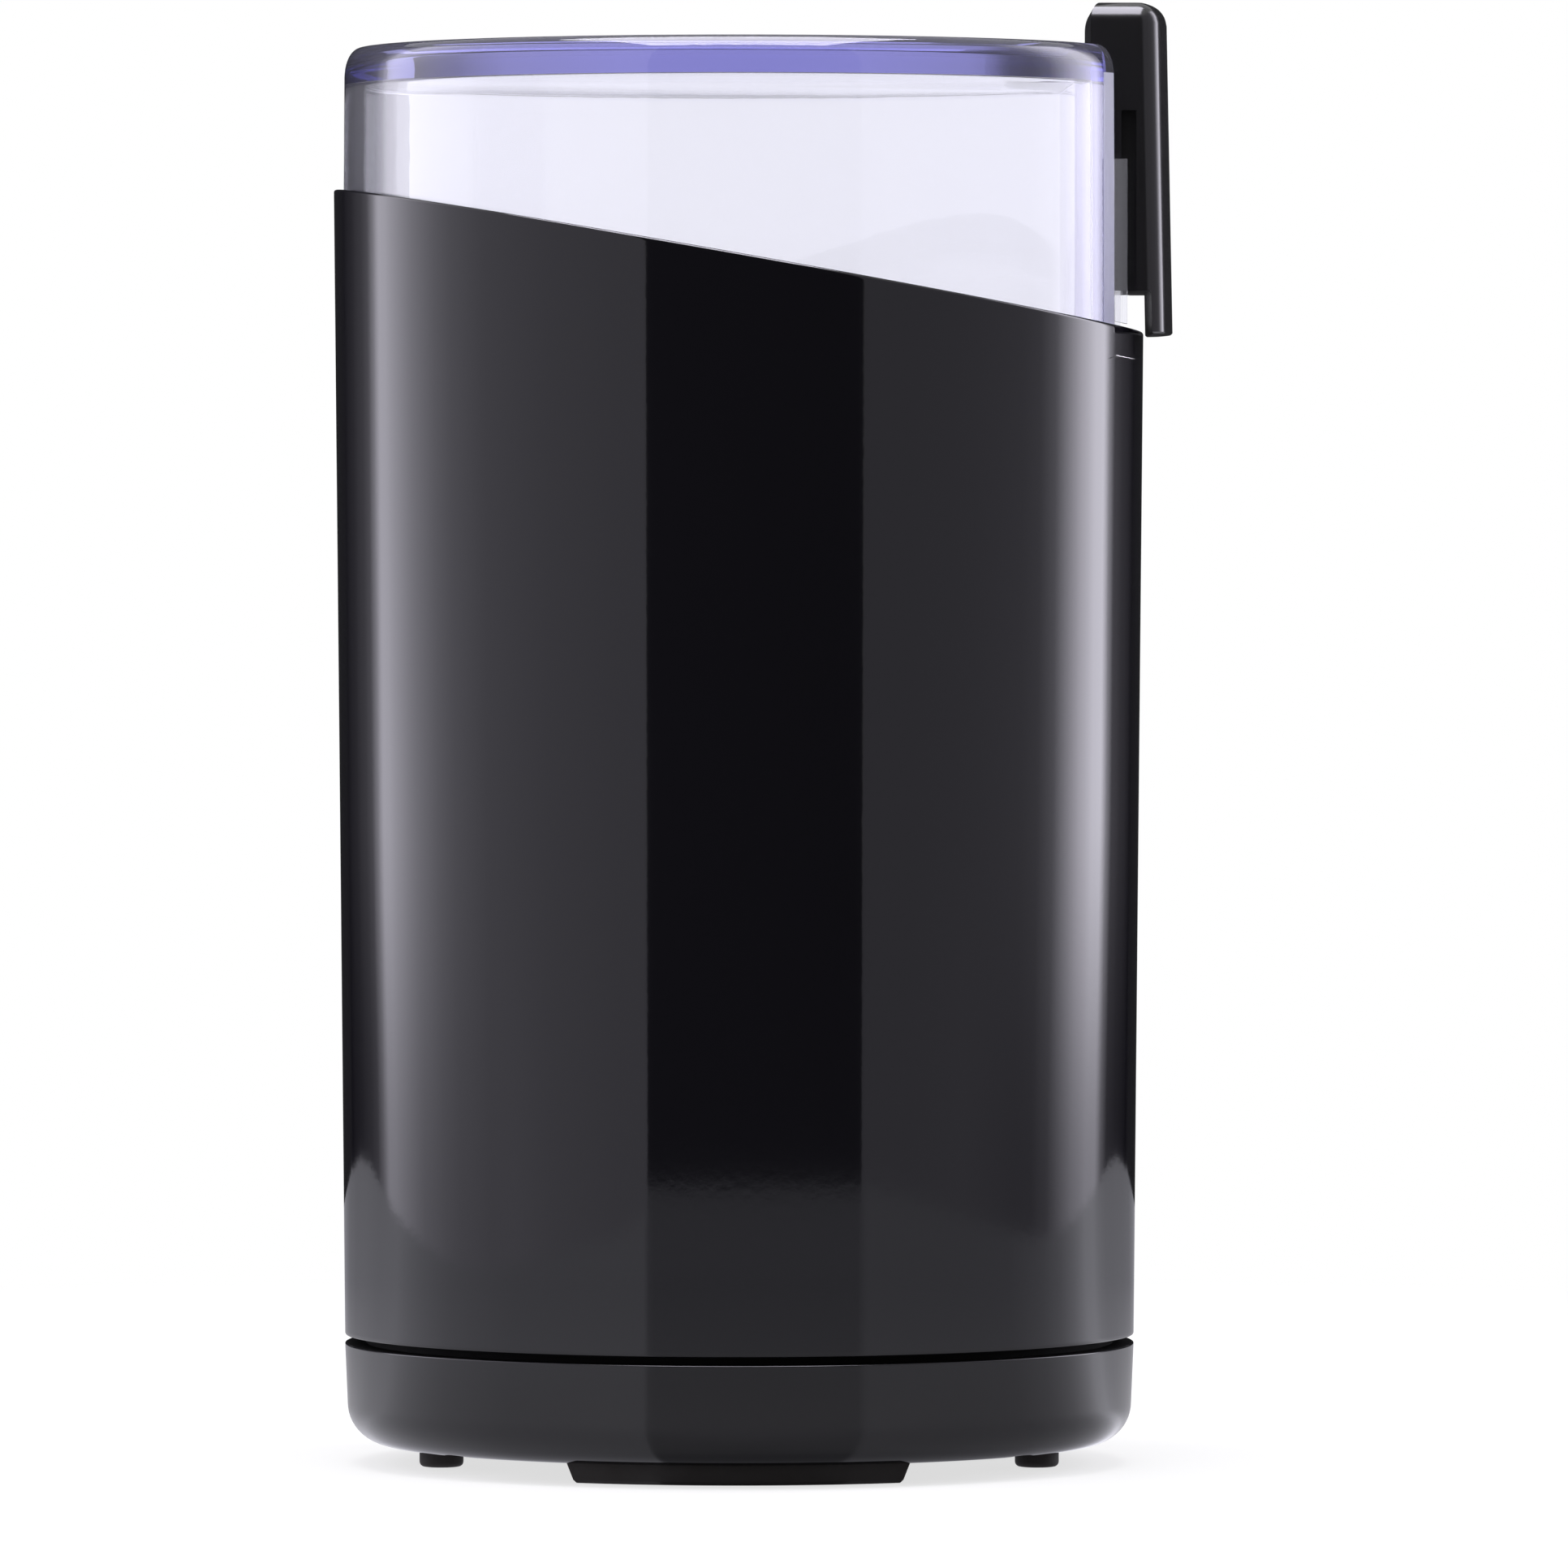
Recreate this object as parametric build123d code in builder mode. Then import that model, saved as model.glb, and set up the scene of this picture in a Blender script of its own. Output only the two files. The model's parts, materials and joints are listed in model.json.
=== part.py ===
from build123d import *
import math
import os

# Electric coffee grinder with an oval housing, a slanted rim, a clear lid and a tall side button.
# Millimetres. +X points to the button, +Y to the rear and +Z up.
# The origin is on the motor axis, on the surface that the feet stand on.

# Housing outline, an upright oval that widens a little from the seam to the rim
body_flare_length = 1.2
body_flare_depth = 1.1
rim_half_depth = 42.9
rim_slope_deg = 10.0
wall = 2.4
lip_wall = 0.7
ledge_drop = 6.4

# Base cover, its spigot inside the housing and its feet
foot_height = 2.4
base_height = 12.4
base_draft = 0.3
base_floor = 2.4
base_edge_radius = 5.0
base_corner_radius = 3.0
seam_gap = 1.0
spigot_height = 4.0
spigot_wall = 1.6
spigot_clearance = 0.2
spigot_shoulder = 3.0
vent_length = 30.0
vent_width = 2.6
vent_pitch = 6.4
vent_count = 5
pad_half_width = 20.7
pad_depth = 6.0
pad_end_slant = 0.8
stud_radius = 2.7
stud_inset = 6.8
stud_y = 8.0

# Screws that hold the base cover
base_screw_angle_deg = 39.0
base_screw_shank_radius = 1.75
base_screw_head_radius = 3.3
base_screw_head_height = 2.6
base_screw_bite = 11.0
base_screw_recess = 4.0
base_post_radius = 4.2
base_post_margin = 0.4
base_boss_merge = 0.8
base_boss_height = 20.0
base_boss_gap = 0.4
hole_clearance = 0.3

# Deck across the housing, which carries the motor below and the bowl above
deck_thickness = 3.0
deck_bore_radius = 12.0

# Collar that fills the rim around the bowl and guides the push rod
collar_thickness = 2.4
collar_clearance = 0.1
guide_length = 15.0
guide_wall = 1.0
guide_gap = 0.15

# Grinding bowl, its gasket and the seal round the shaft
bowl_depth = 45.4
bowl_sheet = 0.8
bowl_draft = 1.8
bowl_corner_radius = 6.0
bowl_clearance = 0.3
flange_width = 2.4
flange_margin = 0.8
flange_clearance = 0.15
collar_land = 2.6
gasket_thickness = 3.0
gasket_width = 6.0
gasket_margin = 1.0
bowl_bore_radius = 8.0
seal_flange_width = 2.5
seal_flange_height = 1.5
seal_play = 0.1

# Clear lid
lid_rise = 26.1
lid_draft = 0.15
lid_clearance = 0.4
lid_lift = 0.2
lid_wall = 2.4
lid_plate = 4.5
lid_edge_radius = 3.5
lid_inner_radius = 1.5
notch_depth = 6.2
cheek_thickness = 1.5
cheek_reach = 2.1
cheek_root = 2.0
cheek_rise = 12.1
cheek_lift = 0.4
cheek_lip_depth = 1.2
cheek_lip_width = 1.0

# Side button
button_rise = 5.2
button_travel = 4.0
button_half_width = 13.3
button_side_gap = 0.4
button_back_gap = 0.35
button_proud = 2.7
button_flare = 0.8
button_crown = 1.2
button_top_radius = 2.5
button_corner_radius = 3.0
button_foot_gap = 0.45
skirt_gap = 0.35
skirt_drop = 0.3
groove_depth = 1.3
groove_clearance = 0.3
groove_headroom = 2.0
button_wall = 1.6
rib_half_width = 2.6
prong_radius = 1.2

# Push rod between the button and the switch
rod_radius = 1.5
rod_play = 0.1
rod_top_gap = 0.2
rod_seat_drop = 2.5
rod_deck_clearance = 0.3
arm_length = 5.9
arm_width = 5.0
arm_thickness = 3.0
arm_clearance = 0.3
plunger_radius = 2.5
plunger_clearance = 0.3
spigot_pin_radius = 1.3
spigot_pin_length = 5.0

# Switch under the deck
stator_switch_gap = 6.0
switch_length = 11.0
switch_width = 18.0
switch_height = 21.0
switch_wall = 1.2
switch_cover_thickness = 1.6
switch_cover_gap = 0.6
switch_head_room = 3.0
switch_post_y = 13.0
switch_post_radius = 3.0
switch_ear_margin = 3.5
switch_screw_radius = 1.25
switch_screw_head_radius = 2.7
switch_screw_head_height = 2.0
switch_screw_bite = 5.0
bridge_length = 13.2
bridge_width = 4.0
bridge_thickness = 0.8
contact_gap = 0.2
terminal_width = 3.6
terminal_thickness = 1.2
terminal_reach = 5.0
terminal_y = 5.2
return_wire_radius = 0.35
return_coil_radius = 2.4
return_turns = 8

# Motor frame, hung from the deck on rubber mounts
mount_inset = 5.0
mount_y = 14.0
mount_boss_radius = 4.5
mount_boss_height = 4.0
mount_thickness = 4.0
mount_radius = 4.5
mount_screw_radius = 1.75
mount_screw_head_radius = 3.4
mount_screw_head_height = 2.4
mount_screw_bite = 5.0
bracket_thickness = 2.5
bracket_margin = 6.0
bracket_corner_radius = 5.0
bearing_boss_wall = 3.0
bearing_radius = 6.0
upper_bearing_height = 12.0
lower_bearing_height = 5.0
shaft_play = 0.05
bolt_y = 19.5
bolt_radius = 2.0
bolt_head_radius = 3.5
bolt_head_height = 2.5
leg_radius = 4.0
upper_leg_height = 8.0
lower_leg_height = 21.5
lower_bracket_thickness = 3.0
lower_bracket_corner_radius = 12.0

# Stator and field coils
stator_length = 54.0
stator_depth = 46.0
stator_height = 26.0
stator_corner_radius = 8.0
air_gap = 0.5
window_inner_x = 6.0
window_outer_x = 20.5
window_inner_y = 11.5
window_outer_y = 17.0
coil_clearance = 0.4
coil_width = 5.6
coil_overhang = 5.6
coil_seat = 0.3
coil_corner_radius = 1.5

# Rotor
shaft_radius = 3.0
core_radius = 13.3
slot_count = 12
slot_width = 2.2
slot_inner_radius = 6.6
slot_outer_radius = 12.3
slot_mouth = 1.0
winding_clearance = 0.1
winding_overhang = 6.5
winding_radius = 12.0
winding_bore_radius = 4.6
winding_edge_radius = 1.5
commutator_radius = 8.5
commutator_height = 11.0
commutator_gap = 1.5
commutator_cut_width = 0.5
commutator_cut_depth = 0.8
fan_radius = 23.0
fan_height = 8.0
fan_gap = 4.0
fan_room = 10.7
fan_disc = 1.5
fan_hub_radius = 6.0
fan_vane_count = 9
fan_vane_thickness = 1.4

# Brushes
brush_play = 0.08
brush_length = 9.4
brush_width = 5.8
brush_height = 7.8
brush_clearance = 0.1
holder_wall = 2.0
holder_start = 2.5
holder_end_wall = 1.5
brush_spring_length = 6.0
brush_wire_radius = 0.3
brush_coil_radius = 2.0
brush_turns = 4

# Blade and what clamps it
bushing_radius = 5.0
bushing_lift = 0.8
bushing_height = 4.0
blade_span = 62.0
blade_width = 9.0
blade_thickness = 1.6
blade_flat = 38.0
blade_rise = 3.5
nut_radius = 5.5
nut_sides = 6
nut_height = 4.5
shaft_end = 1.5

# Rubber gland for the mains lead, low in the rear wall
gland_height = 12.0
gland_bore_radius = 3.25
gland_wall = 1.6
gland_flange_width = 1.8
gland_flange_thickness = 1.6
gland_reach = 3.0

# One overrun for all cuts
overrun = 1.0

# Heights worked out from the sizes above, from the feet up
base_floor_top = foot_height + base_floor
base_top = foot_height + base_height
housing_bottom = base_top + seam_gap
spigot_top = housing_bottom + spigot_height
base_boss_bottom = spigot_top + base_boss_gap
fan_bottom = base_floor_top + fan_room
fan_top = fan_bottom + fan_height
lower_bracket_bottom = fan_top + fan_gap
lower_bracket_top = lower_bracket_bottom + lower_bracket_thickness
lower_bearing_top = lower_bracket_bottom + lower_bearing_height
commutator_bottom = lower_bearing_top + commutator_gap
commutator_top = commutator_bottom + commutator_height
stator_bottom = lower_bracket_top + lower_leg_height
stator_top = stator_bottom + stator_height
bracket_bottom = stator_top + upper_leg_height
bracket_top = bracket_bottom + bracket_thickness
mount_top = bracket_top + mount_thickness
deck_bottom = mount_top + mount_boss_height
deck_top = deck_bottom + deck_thickness
bowl_bottom = deck_top + gasket_thickness
bowl_floor = bowl_bottom + bowl_sheet
bushing_bottom = bowl_floor + seal_flange_height + bushing_lift
blade_bottom = bushing_bottom + bushing_height
nut_bottom = blade_bottom + blade_thickness
shaft_top = nut_bottom + nut_height + shaft_end
rim_height = bowl_bottom + bowl_depth
cheek_top = rim_height + cheek_rise
lid_top = rim_height + lid_rise
button_top = lid_top + button_rise

# Widths worked out from the motor outwards: the switch, the push rod, its guide and the wall
slope = math.radians(rim_slope_deg)
switch_x = stator_length / 2 + stator_switch_gap + switch_length / 2
rod_x = switch_x + arm_length
rod_top = rim_height - rod_x * math.tan(slope) - ledge_drop - rod_seat_drop
guide_bore_radius = rod_radius + rod_play
guide_radius = guide_bore_radius + guide_wall
guide_bottom = rim_height - rod_x * math.tan(slope) - ledge_drop - guide_length
guide_flare_share = (rim_height - guide_bottom) / (rim_height - housing_bottom)
wall_at_guide = rod_x + guide_radius + guide_gap + wall
rim_half_length = wall_at_guide + guide_flare_share * body_flare_length
seam_half_length = rim_half_length - body_flare_length
seam_half_depth = rim_half_depth - body_flare_depth
shell_top = rim_height + rim_half_length * math.tan(slope) + overrun
mount_x = stator_length / 2 - mount_inset

# Ovals: a low height, its half length and half depth, a high height, its half length and half depth
body_oval = (
    housing_bottom,
    seam_half_length,
    seam_half_depth,
    rim_height,
    rim_half_length,
    rim_half_depth,
)


def oval_at(oval, height, inset):
    """Half length and half depth of a tapered oval at a height, less an inset."""
    low, low_length, low_depth, high, high_length, high_depth = oval
    rise_share = (height - low) / (high - low)
    half_length = low_length + rise_share * (high_length - low_length)
    half_depth = low_depth + rise_share * (high_depth - low_depth)
    return half_length - inset, half_depth - inset


def oval_block(oval, bottom, top, inset):
    """Solid of a tapered oval between two heights."""
    with BuildPart(mode=Mode.PRIVATE) as block:
        for height in (bottom, top):
            with BuildSketch(Plane.XY.offset(height)):
                Ellipse(*oval_at(oval, height, inset))
        loft(ruled=True)
    return block.part


def slant(drop):
    """Plane parallel to the rim, a drop below it."""
    return Plane(
        origin=(0, 0, rim_height - drop),
        x_dir=(math.cos(slope), 0, -math.sin(slope)),
        z_dir=(math.sin(slope), 0, math.cos(slope)),
    )


def rim_at(x):
    """Height of the rim at a distance along X."""
    return rim_height - x * math.tan(slope)


def between_slants(block, low_drop, high_drop):
    """The slice of a solid between two planes parallel to the rim."""
    with BuildPart(mode=Mode.PRIVATE) as part_slice:
        add(block)
        split(bisect_by=slant(low_drop), keep=Keep.TOP)
        split(bisect_by=slant(high_drop), keep=Keep.BOTTOM)
    return part_slice.part


def span_box(x_span, y_span, z_span, mode=Mode.ADD):
    """Box given by its lowest and highest value along each axis."""
    centre = [(low + high) / 2 for low, high in (x_span, y_span, z_span)]
    size = [high - low for low, high in (x_span, y_span, z_span)]
    with Locations(tuple(centre)):
        Box(*size, mode=mode)


def post(places, bottom, top, radius, mode=Mode.ADD):
    """Upright round posts, or round holes, at the given places."""
    with BuildSketch(Plane.XY.offset(bottom), mode=Mode.PRIVATE) as rounds:
        with Locations(*places):
            Circle(radius)
    extrude(rounds.sketch, amount=top - bottom, mode=mode)


def coil(start, direction, length, coil_radius, wire_radius, turns):
    """Spring wound on a helix, and the least gap between its turns, measured on points."""
    pitch = length / turns
    with BuildPart(mode=Mode.PRIVATE) as spring:
        with BuildLine():
            path = Helix(pitch, length, coil_radius, center=start, direction=direction)
        with BuildSketch(Plane(origin=path @ 0, z_dir=path % 0)):
            Circle(wire_radius)
        sweep(path=path, is_frenet=True)
    points_per_turn = 24
    points = [path @ (i / (turns * points_per_turn)) for i in range(turns * points_per_turn + 1)]
    far_apart = [
        (a - b).length
        for i, a in enumerate(points)
        for b in points[i + points_per_turn // 2 :]
    ]
    return spring.part, min(far_apart) - 2 * wire_radius


os.makedirs("parts", exist_ok=True)

# Places shared by pieces that fit together
base_screw_inset = base_post_radius + spigot_clearance + base_post_margin
base_boss_radius = base_screw_inset + base_boss_merge
base_screw_oval = oval_at(body_oval, housing_bottom, wall + base_screw_inset)
base_screw_angle = math.radians(base_screw_angle_deg)
base_screw_x = base_screw_oval[0] * math.cos(base_screw_angle)
base_screw_y = base_screw_oval[1] * math.sin(base_screw_angle)
base_screw_places = [(x, y) for x in (-base_screw_x, base_screw_x) for y in (-base_screw_y, base_screw_y)]
mount_places = [(x, y) for x in (-mount_x, mount_x) for y in (-mount_y, mount_y)]
bolt_places = [(0, -bolt_y), (0, bolt_y)]

rod_hole_radius = rod_radius + rod_deck_clearance
switch_post_places = [(switch_x, -switch_post_y), (switch_x, switch_post_y)]
arm_top = deck_bottom - arm_clearance
arm_bottom = arm_top - arm_thickness
switch_cover_top = arm_bottom - button_travel - switch_cover_gap
switch_top = switch_cover_top - switch_cover_thickness
switch_bottom = switch_top - switch_height
bridge_top = switch_top - switch_head_room
bridge_bottom = bridge_top - bridge_thickness
terminal_top = bridge_bottom - button_travel - contact_gap

gland_z = housing_bottom + gland_height
gland_radius = gland_bore_radius + gland_wall
gland_flange_radius = gland_radius + gland_flange_width

# Housing: an oval shell with a deck across it, a thin lip at the rim and screw bosses
shell = oval_block(body_oval, housing_bottom, shell_top, 0)
motor_room = oval_block(body_oval, housing_bottom - overrun, deck_bottom, wall)
bowl_room = oval_block(body_oval, deck_top, shell_top + overrun, wall)
lip_block = oval_block(body_oval, deck_top, shell_top + overrun, lip_wall)
lip_room = between_slants(lip_block, ledge_drop, -shell_top)
with BuildPart() as housing:
    add(shell)
    split(bisect_by=slant(0), keep=Keep.BOTTOM)
    add(motor_room, mode=Mode.SUBTRACT)
    add(bowl_room, mode=Mode.SUBTRACT)
    add(lip_room, mode=Mode.SUBTRACT)
    post(mount_places, mount_top, deck_bottom, mount_boss_radius)
    post(switch_post_places, switch_cover_top, deck_bottom, switch_post_radius)
    post(base_screw_places, base_boss_bottom, base_boss_bottom + base_boss_height, base_boss_radius)
    post([(0, 0)], deck_bottom - overrun, deck_top + overrun, deck_bore_radius, Mode.SUBTRACT)
    post([(rod_x, 0)], deck_bottom - overrun, deck_top + overrun, rod_hole_radius, Mode.SUBTRACT)
    post(mount_places, mount_top, mount_top + mount_screw_bite, mount_screw_radius, Mode.SUBTRACT)
    post(
        switch_post_places,
        switch_cover_top,
        switch_cover_top + switch_screw_bite,
        switch_screw_radius,
        Mode.SUBTRACT,
    )
    post(
        base_screw_places,
        base_boss_bottom,
        base_boss_bottom + base_screw_bite,
        base_screw_shank_radius,
        Mode.SUBTRACT,
    )
    with BuildSketch(Plane(origin=(0, 0, gland_z), x_dir=(1, 0, 0), z_dir=(0, 1, 0))):
        Circle(gland_radius)
    extrude(amount=rim_half_depth + overrun, mode=Mode.SUBTRACT)
housing.part.label = "housing"
export_step(housing.part, "parts/housing.step")

# Base cover: a shallow tray with a spigot that centres the housing, screw posts and vents
base_oval = (
    foot_height,
    seam_half_length - base_draft,
    seam_half_depth - base_draft,
    base_top,
    seam_half_length,
    seam_half_depth,
)
shoulder_bottom = base_top - spigot_shoulder
spigot_inset = wall + spigot_clearance
base_block = oval_block(base_oval, foot_height, base_top, 0)
base_room = oval_block(base_oval, base_floor_top, shoulder_bottom, wall)
spigot_block = oval_block(body_oval, base_top, spigot_top, spigot_inset)
spigot_room = oval_block(body_oval, shoulder_bottom, spigot_top + overrun, spigot_inset + spigot_wall)
with BuildPart() as base_tray:
    add(base_room)
    fillet(base_tray.edges().group_by(Axis.Z)[0], base_corner_radius)
with BuildPart() as base_cover:
    add(base_block)
    fillet(base_cover.edges().group_by(Axis.Z)[0], base_edge_radius)
    add(spigot_block)
    add(base_tray.part, mode=Mode.SUBTRACT)
    add(spigot_room, mode=Mode.SUBTRACT)
    post(base_screw_places, base_floor_top - base_floor / 2, base_boss_bottom, base_post_radius)
    post(
        base_screw_places,
        foot_height - overrun,
        foot_height + base_screw_recess,
        base_screw_head_radius + hole_clearance,
        Mode.SUBTRACT,
    )
    post(
        base_screw_places,
        foot_height - overrun,
        base_boss_bottom + overrun,
        base_screw_shank_radius + hole_clearance,
        Mode.SUBTRACT,
    )
    with BuildSketch(Plane.XY.offset(foot_height - overrun)):
        with GridLocations(0, vent_pitch, 1, vent_count):
            SlotOverall(vent_length, vent_width)
    extrude(amount=base_floor + 2 * overrun, mode=Mode.SUBTRACT)
base_cover.part.label = "base_cover"
export_step(base_cover.part, "parts/base_cover.step")

# Screws of the base cover, up through its posts into the housing's bosses
screw_seat = foot_height + base_screw_recess
with BuildPart() as base_screws:
    post(base_screw_places, screw_seat - base_screw_head_height, screw_seat, base_screw_head_radius)
    post(base_screw_places, screw_seat, base_boss_bottom + base_screw_bite, base_screw_shank_radius)
base_screws.part.label = "base_screws"
export_step(base_screws.part, "parts/base_screws.step")

# Feet: an arc of rubber under the front edge and the rear edge, and four small studs
pad_oval = oval_at(base_oval, foot_height, base_edge_radius)
for name, side in (("front_foot", -1), ("rear_foot", 1)):
    with BuildPart() as foot:
        for height, half_width in ((0, pad_half_width - pad_end_slant), (foot_height, pad_half_width)):
            with BuildSketch(Plane.XY.offset(height)):
                Ellipse(*pad_oval)
                Ellipse(pad_oval[0] - pad_depth, pad_oval[1] - pad_depth, mode=Mode.SUBTRACT)
                with Locations((0, side * pad_oval[1] / 2)):
                    Rectangle(2 * half_width, pad_oval[1], mode=Mode.INTERSECT)
        loft(ruled=True)
    foot.part.label = name
    export_step(foot.part, f"parts/{name}.step")

stud_x = pad_oval[0] - stud_inset
stud_places = [(x, y) for x in (-stud_x, stud_x) for y in (-stud_y, stud_y)]
with BuildPart() as foot_studs:
    post(stud_places, 0, foot_height, stud_radius)
foot_studs.part.label = "foot_studs"
export_step(foot_studs.part, "parts/foot_studs.step")

# Gland: a grooved rubber bush in the rear wall
wall_outside = oval_at(body_oval, gland_z, 0)[1]
wall_inside = wall_outside - wall
flange_bend = wall_inside - math.sqrt(
    wall_inside**2 * (1 - (gland_flange_radius / oval_at(body_oval, gland_z, wall)[0]) ** 2)
)
flange_face = wall_inside - flange_bend
gland_plane = Plane(origin=(0, wall_outside + gland_reach, gland_z), x_dir=(1, 0, 0), z_dir=(0, -1, 0))
with BuildPart() as cord_gland:
    with BuildSketch(gland_plane):
        Circle(gland_radius)
    extrude(amount=wall_outside + gland_reach - flange_face)
    with BuildSketch(Plane(origin=(0, flange_face, gland_z), x_dir=(1, 0, 0), z_dir=(0, -1, 0))):
        Circle(gland_flange_radius)
    extrude(amount=gland_flange_thickness)
    with BuildSketch(gland_plane):
        Circle(gland_bore_radius)
    extrude(amount=wall_outside, mode=Mode.SUBTRACT)
cord_gland.part.label = "cord_gland"
export_step(cord_gland.part, "parts/cord_gland.step")

# Bowl outline: it keeps clear of the push rod's guide at the right and leaves a land on the collar
collar_oval = oval_at(body_oval, rim_height, lip_wall + collar_clearance)
flange_half_length = rod_x - guide_bore_radius - flange_margin
flange_half_depth = collar_oval[1] - collar_land
bowl_half_length = flange_half_length - flange_width
bowl_half_depth = flange_half_depth - flange_width
bowl_oval = (
    bowl_bottom,
    bowl_half_length - bowl_draft,
    bowl_half_depth - bowl_draft,
    rim_height,
    bowl_half_length,
    bowl_half_depth,
)
flange_oval = (
    bowl_bottom,
    flange_half_length,
    flange_half_depth,
    rim_height,
    flange_half_length,
    flange_half_depth,
)
collar_top_drop = ledge_drop - collar_thickness
flange_drop = collar_top_drop + bowl_sheet

# Collar: a slanted ring on the housing's ledge with a recess for the bowl's flange and a rod guide
collar_block = oval_block(body_oval, deck_top, shell_top, lip_wall + collar_clearance)
collar_ring = between_slants(collar_block, ledge_drop, collar_top_drop)
bowl_gap = oval_block(bowl_oval, bowl_bottom, shell_top, -bowl_clearance)
flange_gap = between_slants(
    oval_block(flange_oval, bowl_bottom, shell_top, -flange_clearance), flange_drop, -shell_top
)
with BuildPart() as collar:
    add(collar_ring)
    post([(rod_x, 0)], guide_bottom, rim_at(rod_x) - ledge_drop + collar_thickness / 2, guide_radius)
    add(bowl_gap, mode=Mode.SUBTRACT)
    add(flange_gap, mode=Mode.SUBTRACT)
    post([(rod_x, 0)], guide_bottom - overrun, shell_top, guide_bore_radius, Mode.SUBTRACT)
collar.part.label = "collar"
export_step(collar.part, "parts/collar.step")

# Bowl: a pressed steel cup with a slanted flange and a bore for the shaft seal
bowl_block = oval_block(bowl_oval, bowl_bottom, shell_top, 0)
bowl_hollow = oval_block(bowl_oval, bowl_floor, shell_top + overrun, bowl_sheet)
flange_block = oval_block(flange_oval, bowl_bottom, shell_top, 0)
bowl_flange = between_slants(flange_block, flange_drop, collar_top_drop)
with BuildPart() as bowl_inside:
    add(bowl_hollow)
    fillet(bowl_inside.edges().group_by(Axis.Z)[0], bowl_corner_radius - bowl_sheet)
with BuildPart() as bowl:
    add(bowl_block)
    fillet(bowl.edges().group_by(Axis.Z)[0], bowl_corner_radius)
    split(bisect_by=slant(collar_top_drop), keep=Keep.BOTTOM)
    add(bowl_flange)
    add(bowl_inside.part, mode=Mode.SUBTRACT)
    post([(0, 0)], bowl_bottom - overrun, bowl_floor + overrun, bowl_bore_radius, Mode.SUBTRACT)
bowl.part.label = "bowl"
export_step(bowl.part, "parts/bowl.step")

# Gasket between the deck and the bowl
gasket_inner_radius = deck_bore_radius + gasket_margin
with BuildPart() as bowl_gasket:
    with BuildSketch(Plane.XY.offset(deck_top)):
        Circle(gasket_inner_radius + gasket_width)
        Circle(gasket_inner_radius, mode=Mode.SUBTRACT)
    extrude(amount=gasket_thickness)
bowl_gasket.part.label = "bowl_gasket"
export_step(bowl_gasket.part, "parts/bowl_gasket.step")

# Seal: a grommet that grips the bowl's floor and rides on the shaft
seal_flange_radius = bowl_bore_radius + seal_flange_width
seal_top = bowl_floor + seal_flange_height
seal_bottom = bowl_bottom - seal_flange_height
with BuildPart() as shaft_seal:
    post([(0, 0)], seal_bottom, seal_top, bowl_bore_radius)
    post([(0, 0)], seal_bottom, bowl_bottom, seal_flange_radius)
    post([(0, 0)], bowl_floor, seal_top, seal_flange_radius)
    post([(0, 0)], seal_bottom - overrun, seal_top + overrun, shaft_radius + seal_play, Mode.SUBTRACT)
shaft_seal.part.label = "shaft_seal"
export_step(shaft_seal.part, "parts/shaft_seal.step")

# Lid: a clear cap that drops inside the lip, with a notch at the right for the button
lid_half_length, lid_half_depth = oval_at(body_oval, rim_height, lip_wall + lid_clearance)
lid_oval = (
    rim_height,
    lid_half_length,
    lid_half_depth,
    lid_top,
    lid_half_length - lid_draft,
    lid_half_depth - lid_draft,
)
notch_floor = lid_half_length - notch_depth
notch_half_width = button_half_width + button_side_gap
cheek_end = lid_half_length * math.sqrt(1 - (notch_half_width / lid_half_depth) ** 2) + cheek_reach
cheek_outside = notch_half_width + cheek_thickness
lid_block = oval_block(lid_oval, deck_top, lid_top, 0)
lid_hollow = oval_block(lid_oval, deck_top - overrun, lid_top - lid_plate, lid_wall)
with BuildPart() as lid_room:
    add(lid_hollow)
    fillet(lid_room.edges().group_by(Axis.Z)[-1], lid_inner_radius)
    span_box(
        (notch_floor - lid_wall, rim_half_length),
        (-notch_half_width - lid_wall, notch_half_width + lid_wall),
        (deck_top - overrun, lid_top),
        Mode.SUBTRACT,
    )
with BuildPart() as cheeks:
    for side in (-1, 1):
        plate = sorted((side * notch_half_width, side * cheek_outside))
        lip = sorted((side * (notch_half_width - cheek_lip_width), side * cheek_outside))
        span_box((cheek_end - cheek_reach - cheek_root, cheek_end), plate, (deck_top, cheek_top))
        span_box((cheek_end - cheek_lip_depth, cheek_end), lip, (deck_top, cheek_top))
    split(bisect_by=slant(-cheek_lift), keep=Keep.TOP)
with BuildPart() as lid:
    add(lid_block)
    fillet(lid.edges().group_by(Axis.Z)[-1], lid_edge_radius)
    split(bisect_by=slant(collar_top_drop - lid_lift), keep=Keep.TOP)
    add(lid_room.part, mode=Mode.SUBTRACT)
    span_box(
        (notch_floor, rim_half_length + overrun),
        (-notch_half_width, notch_half_width),
        (deck_top, lid_top + overrun),
        Mode.SUBTRACT,
    )
    add(cheeks.part)
lid.part.label = "lid"
export_step(lid.part, "parts/lid.step")

# Button: a tall cap that slides in the lid's notch, with a skirt in front of the housing wall
button_back = notch_floor + button_back_gap
button_front = rim_half_length + button_proud
rim_right = rim_at(rim_half_length)
skirt_bottom = rim_right - skirt_drop
skirt_back = oval_at(body_oval, rim_right, 0)[0] + skirt_gap
lip_corner_x = rim_half_length * math.sqrt(1 - (button_half_width / rim_half_depth) ** 2)
button_foot = rim_at(lip_corner_x) + button_foot_gap + button_travel
groove_back = cheek_end - cheek_lip_depth - groove_clearance
groove_front = cheek_end + groove_clearance
groove_floor = button_half_width - groove_depth
groove_top = cheek_top + button_travel + groove_headroom
pocket_half_width = groove_floor - button_wall
pocket_front = button_front - button_crown - button_wall
lean = math.atan(button_flare / (button_top - skirt_bottom))
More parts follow.
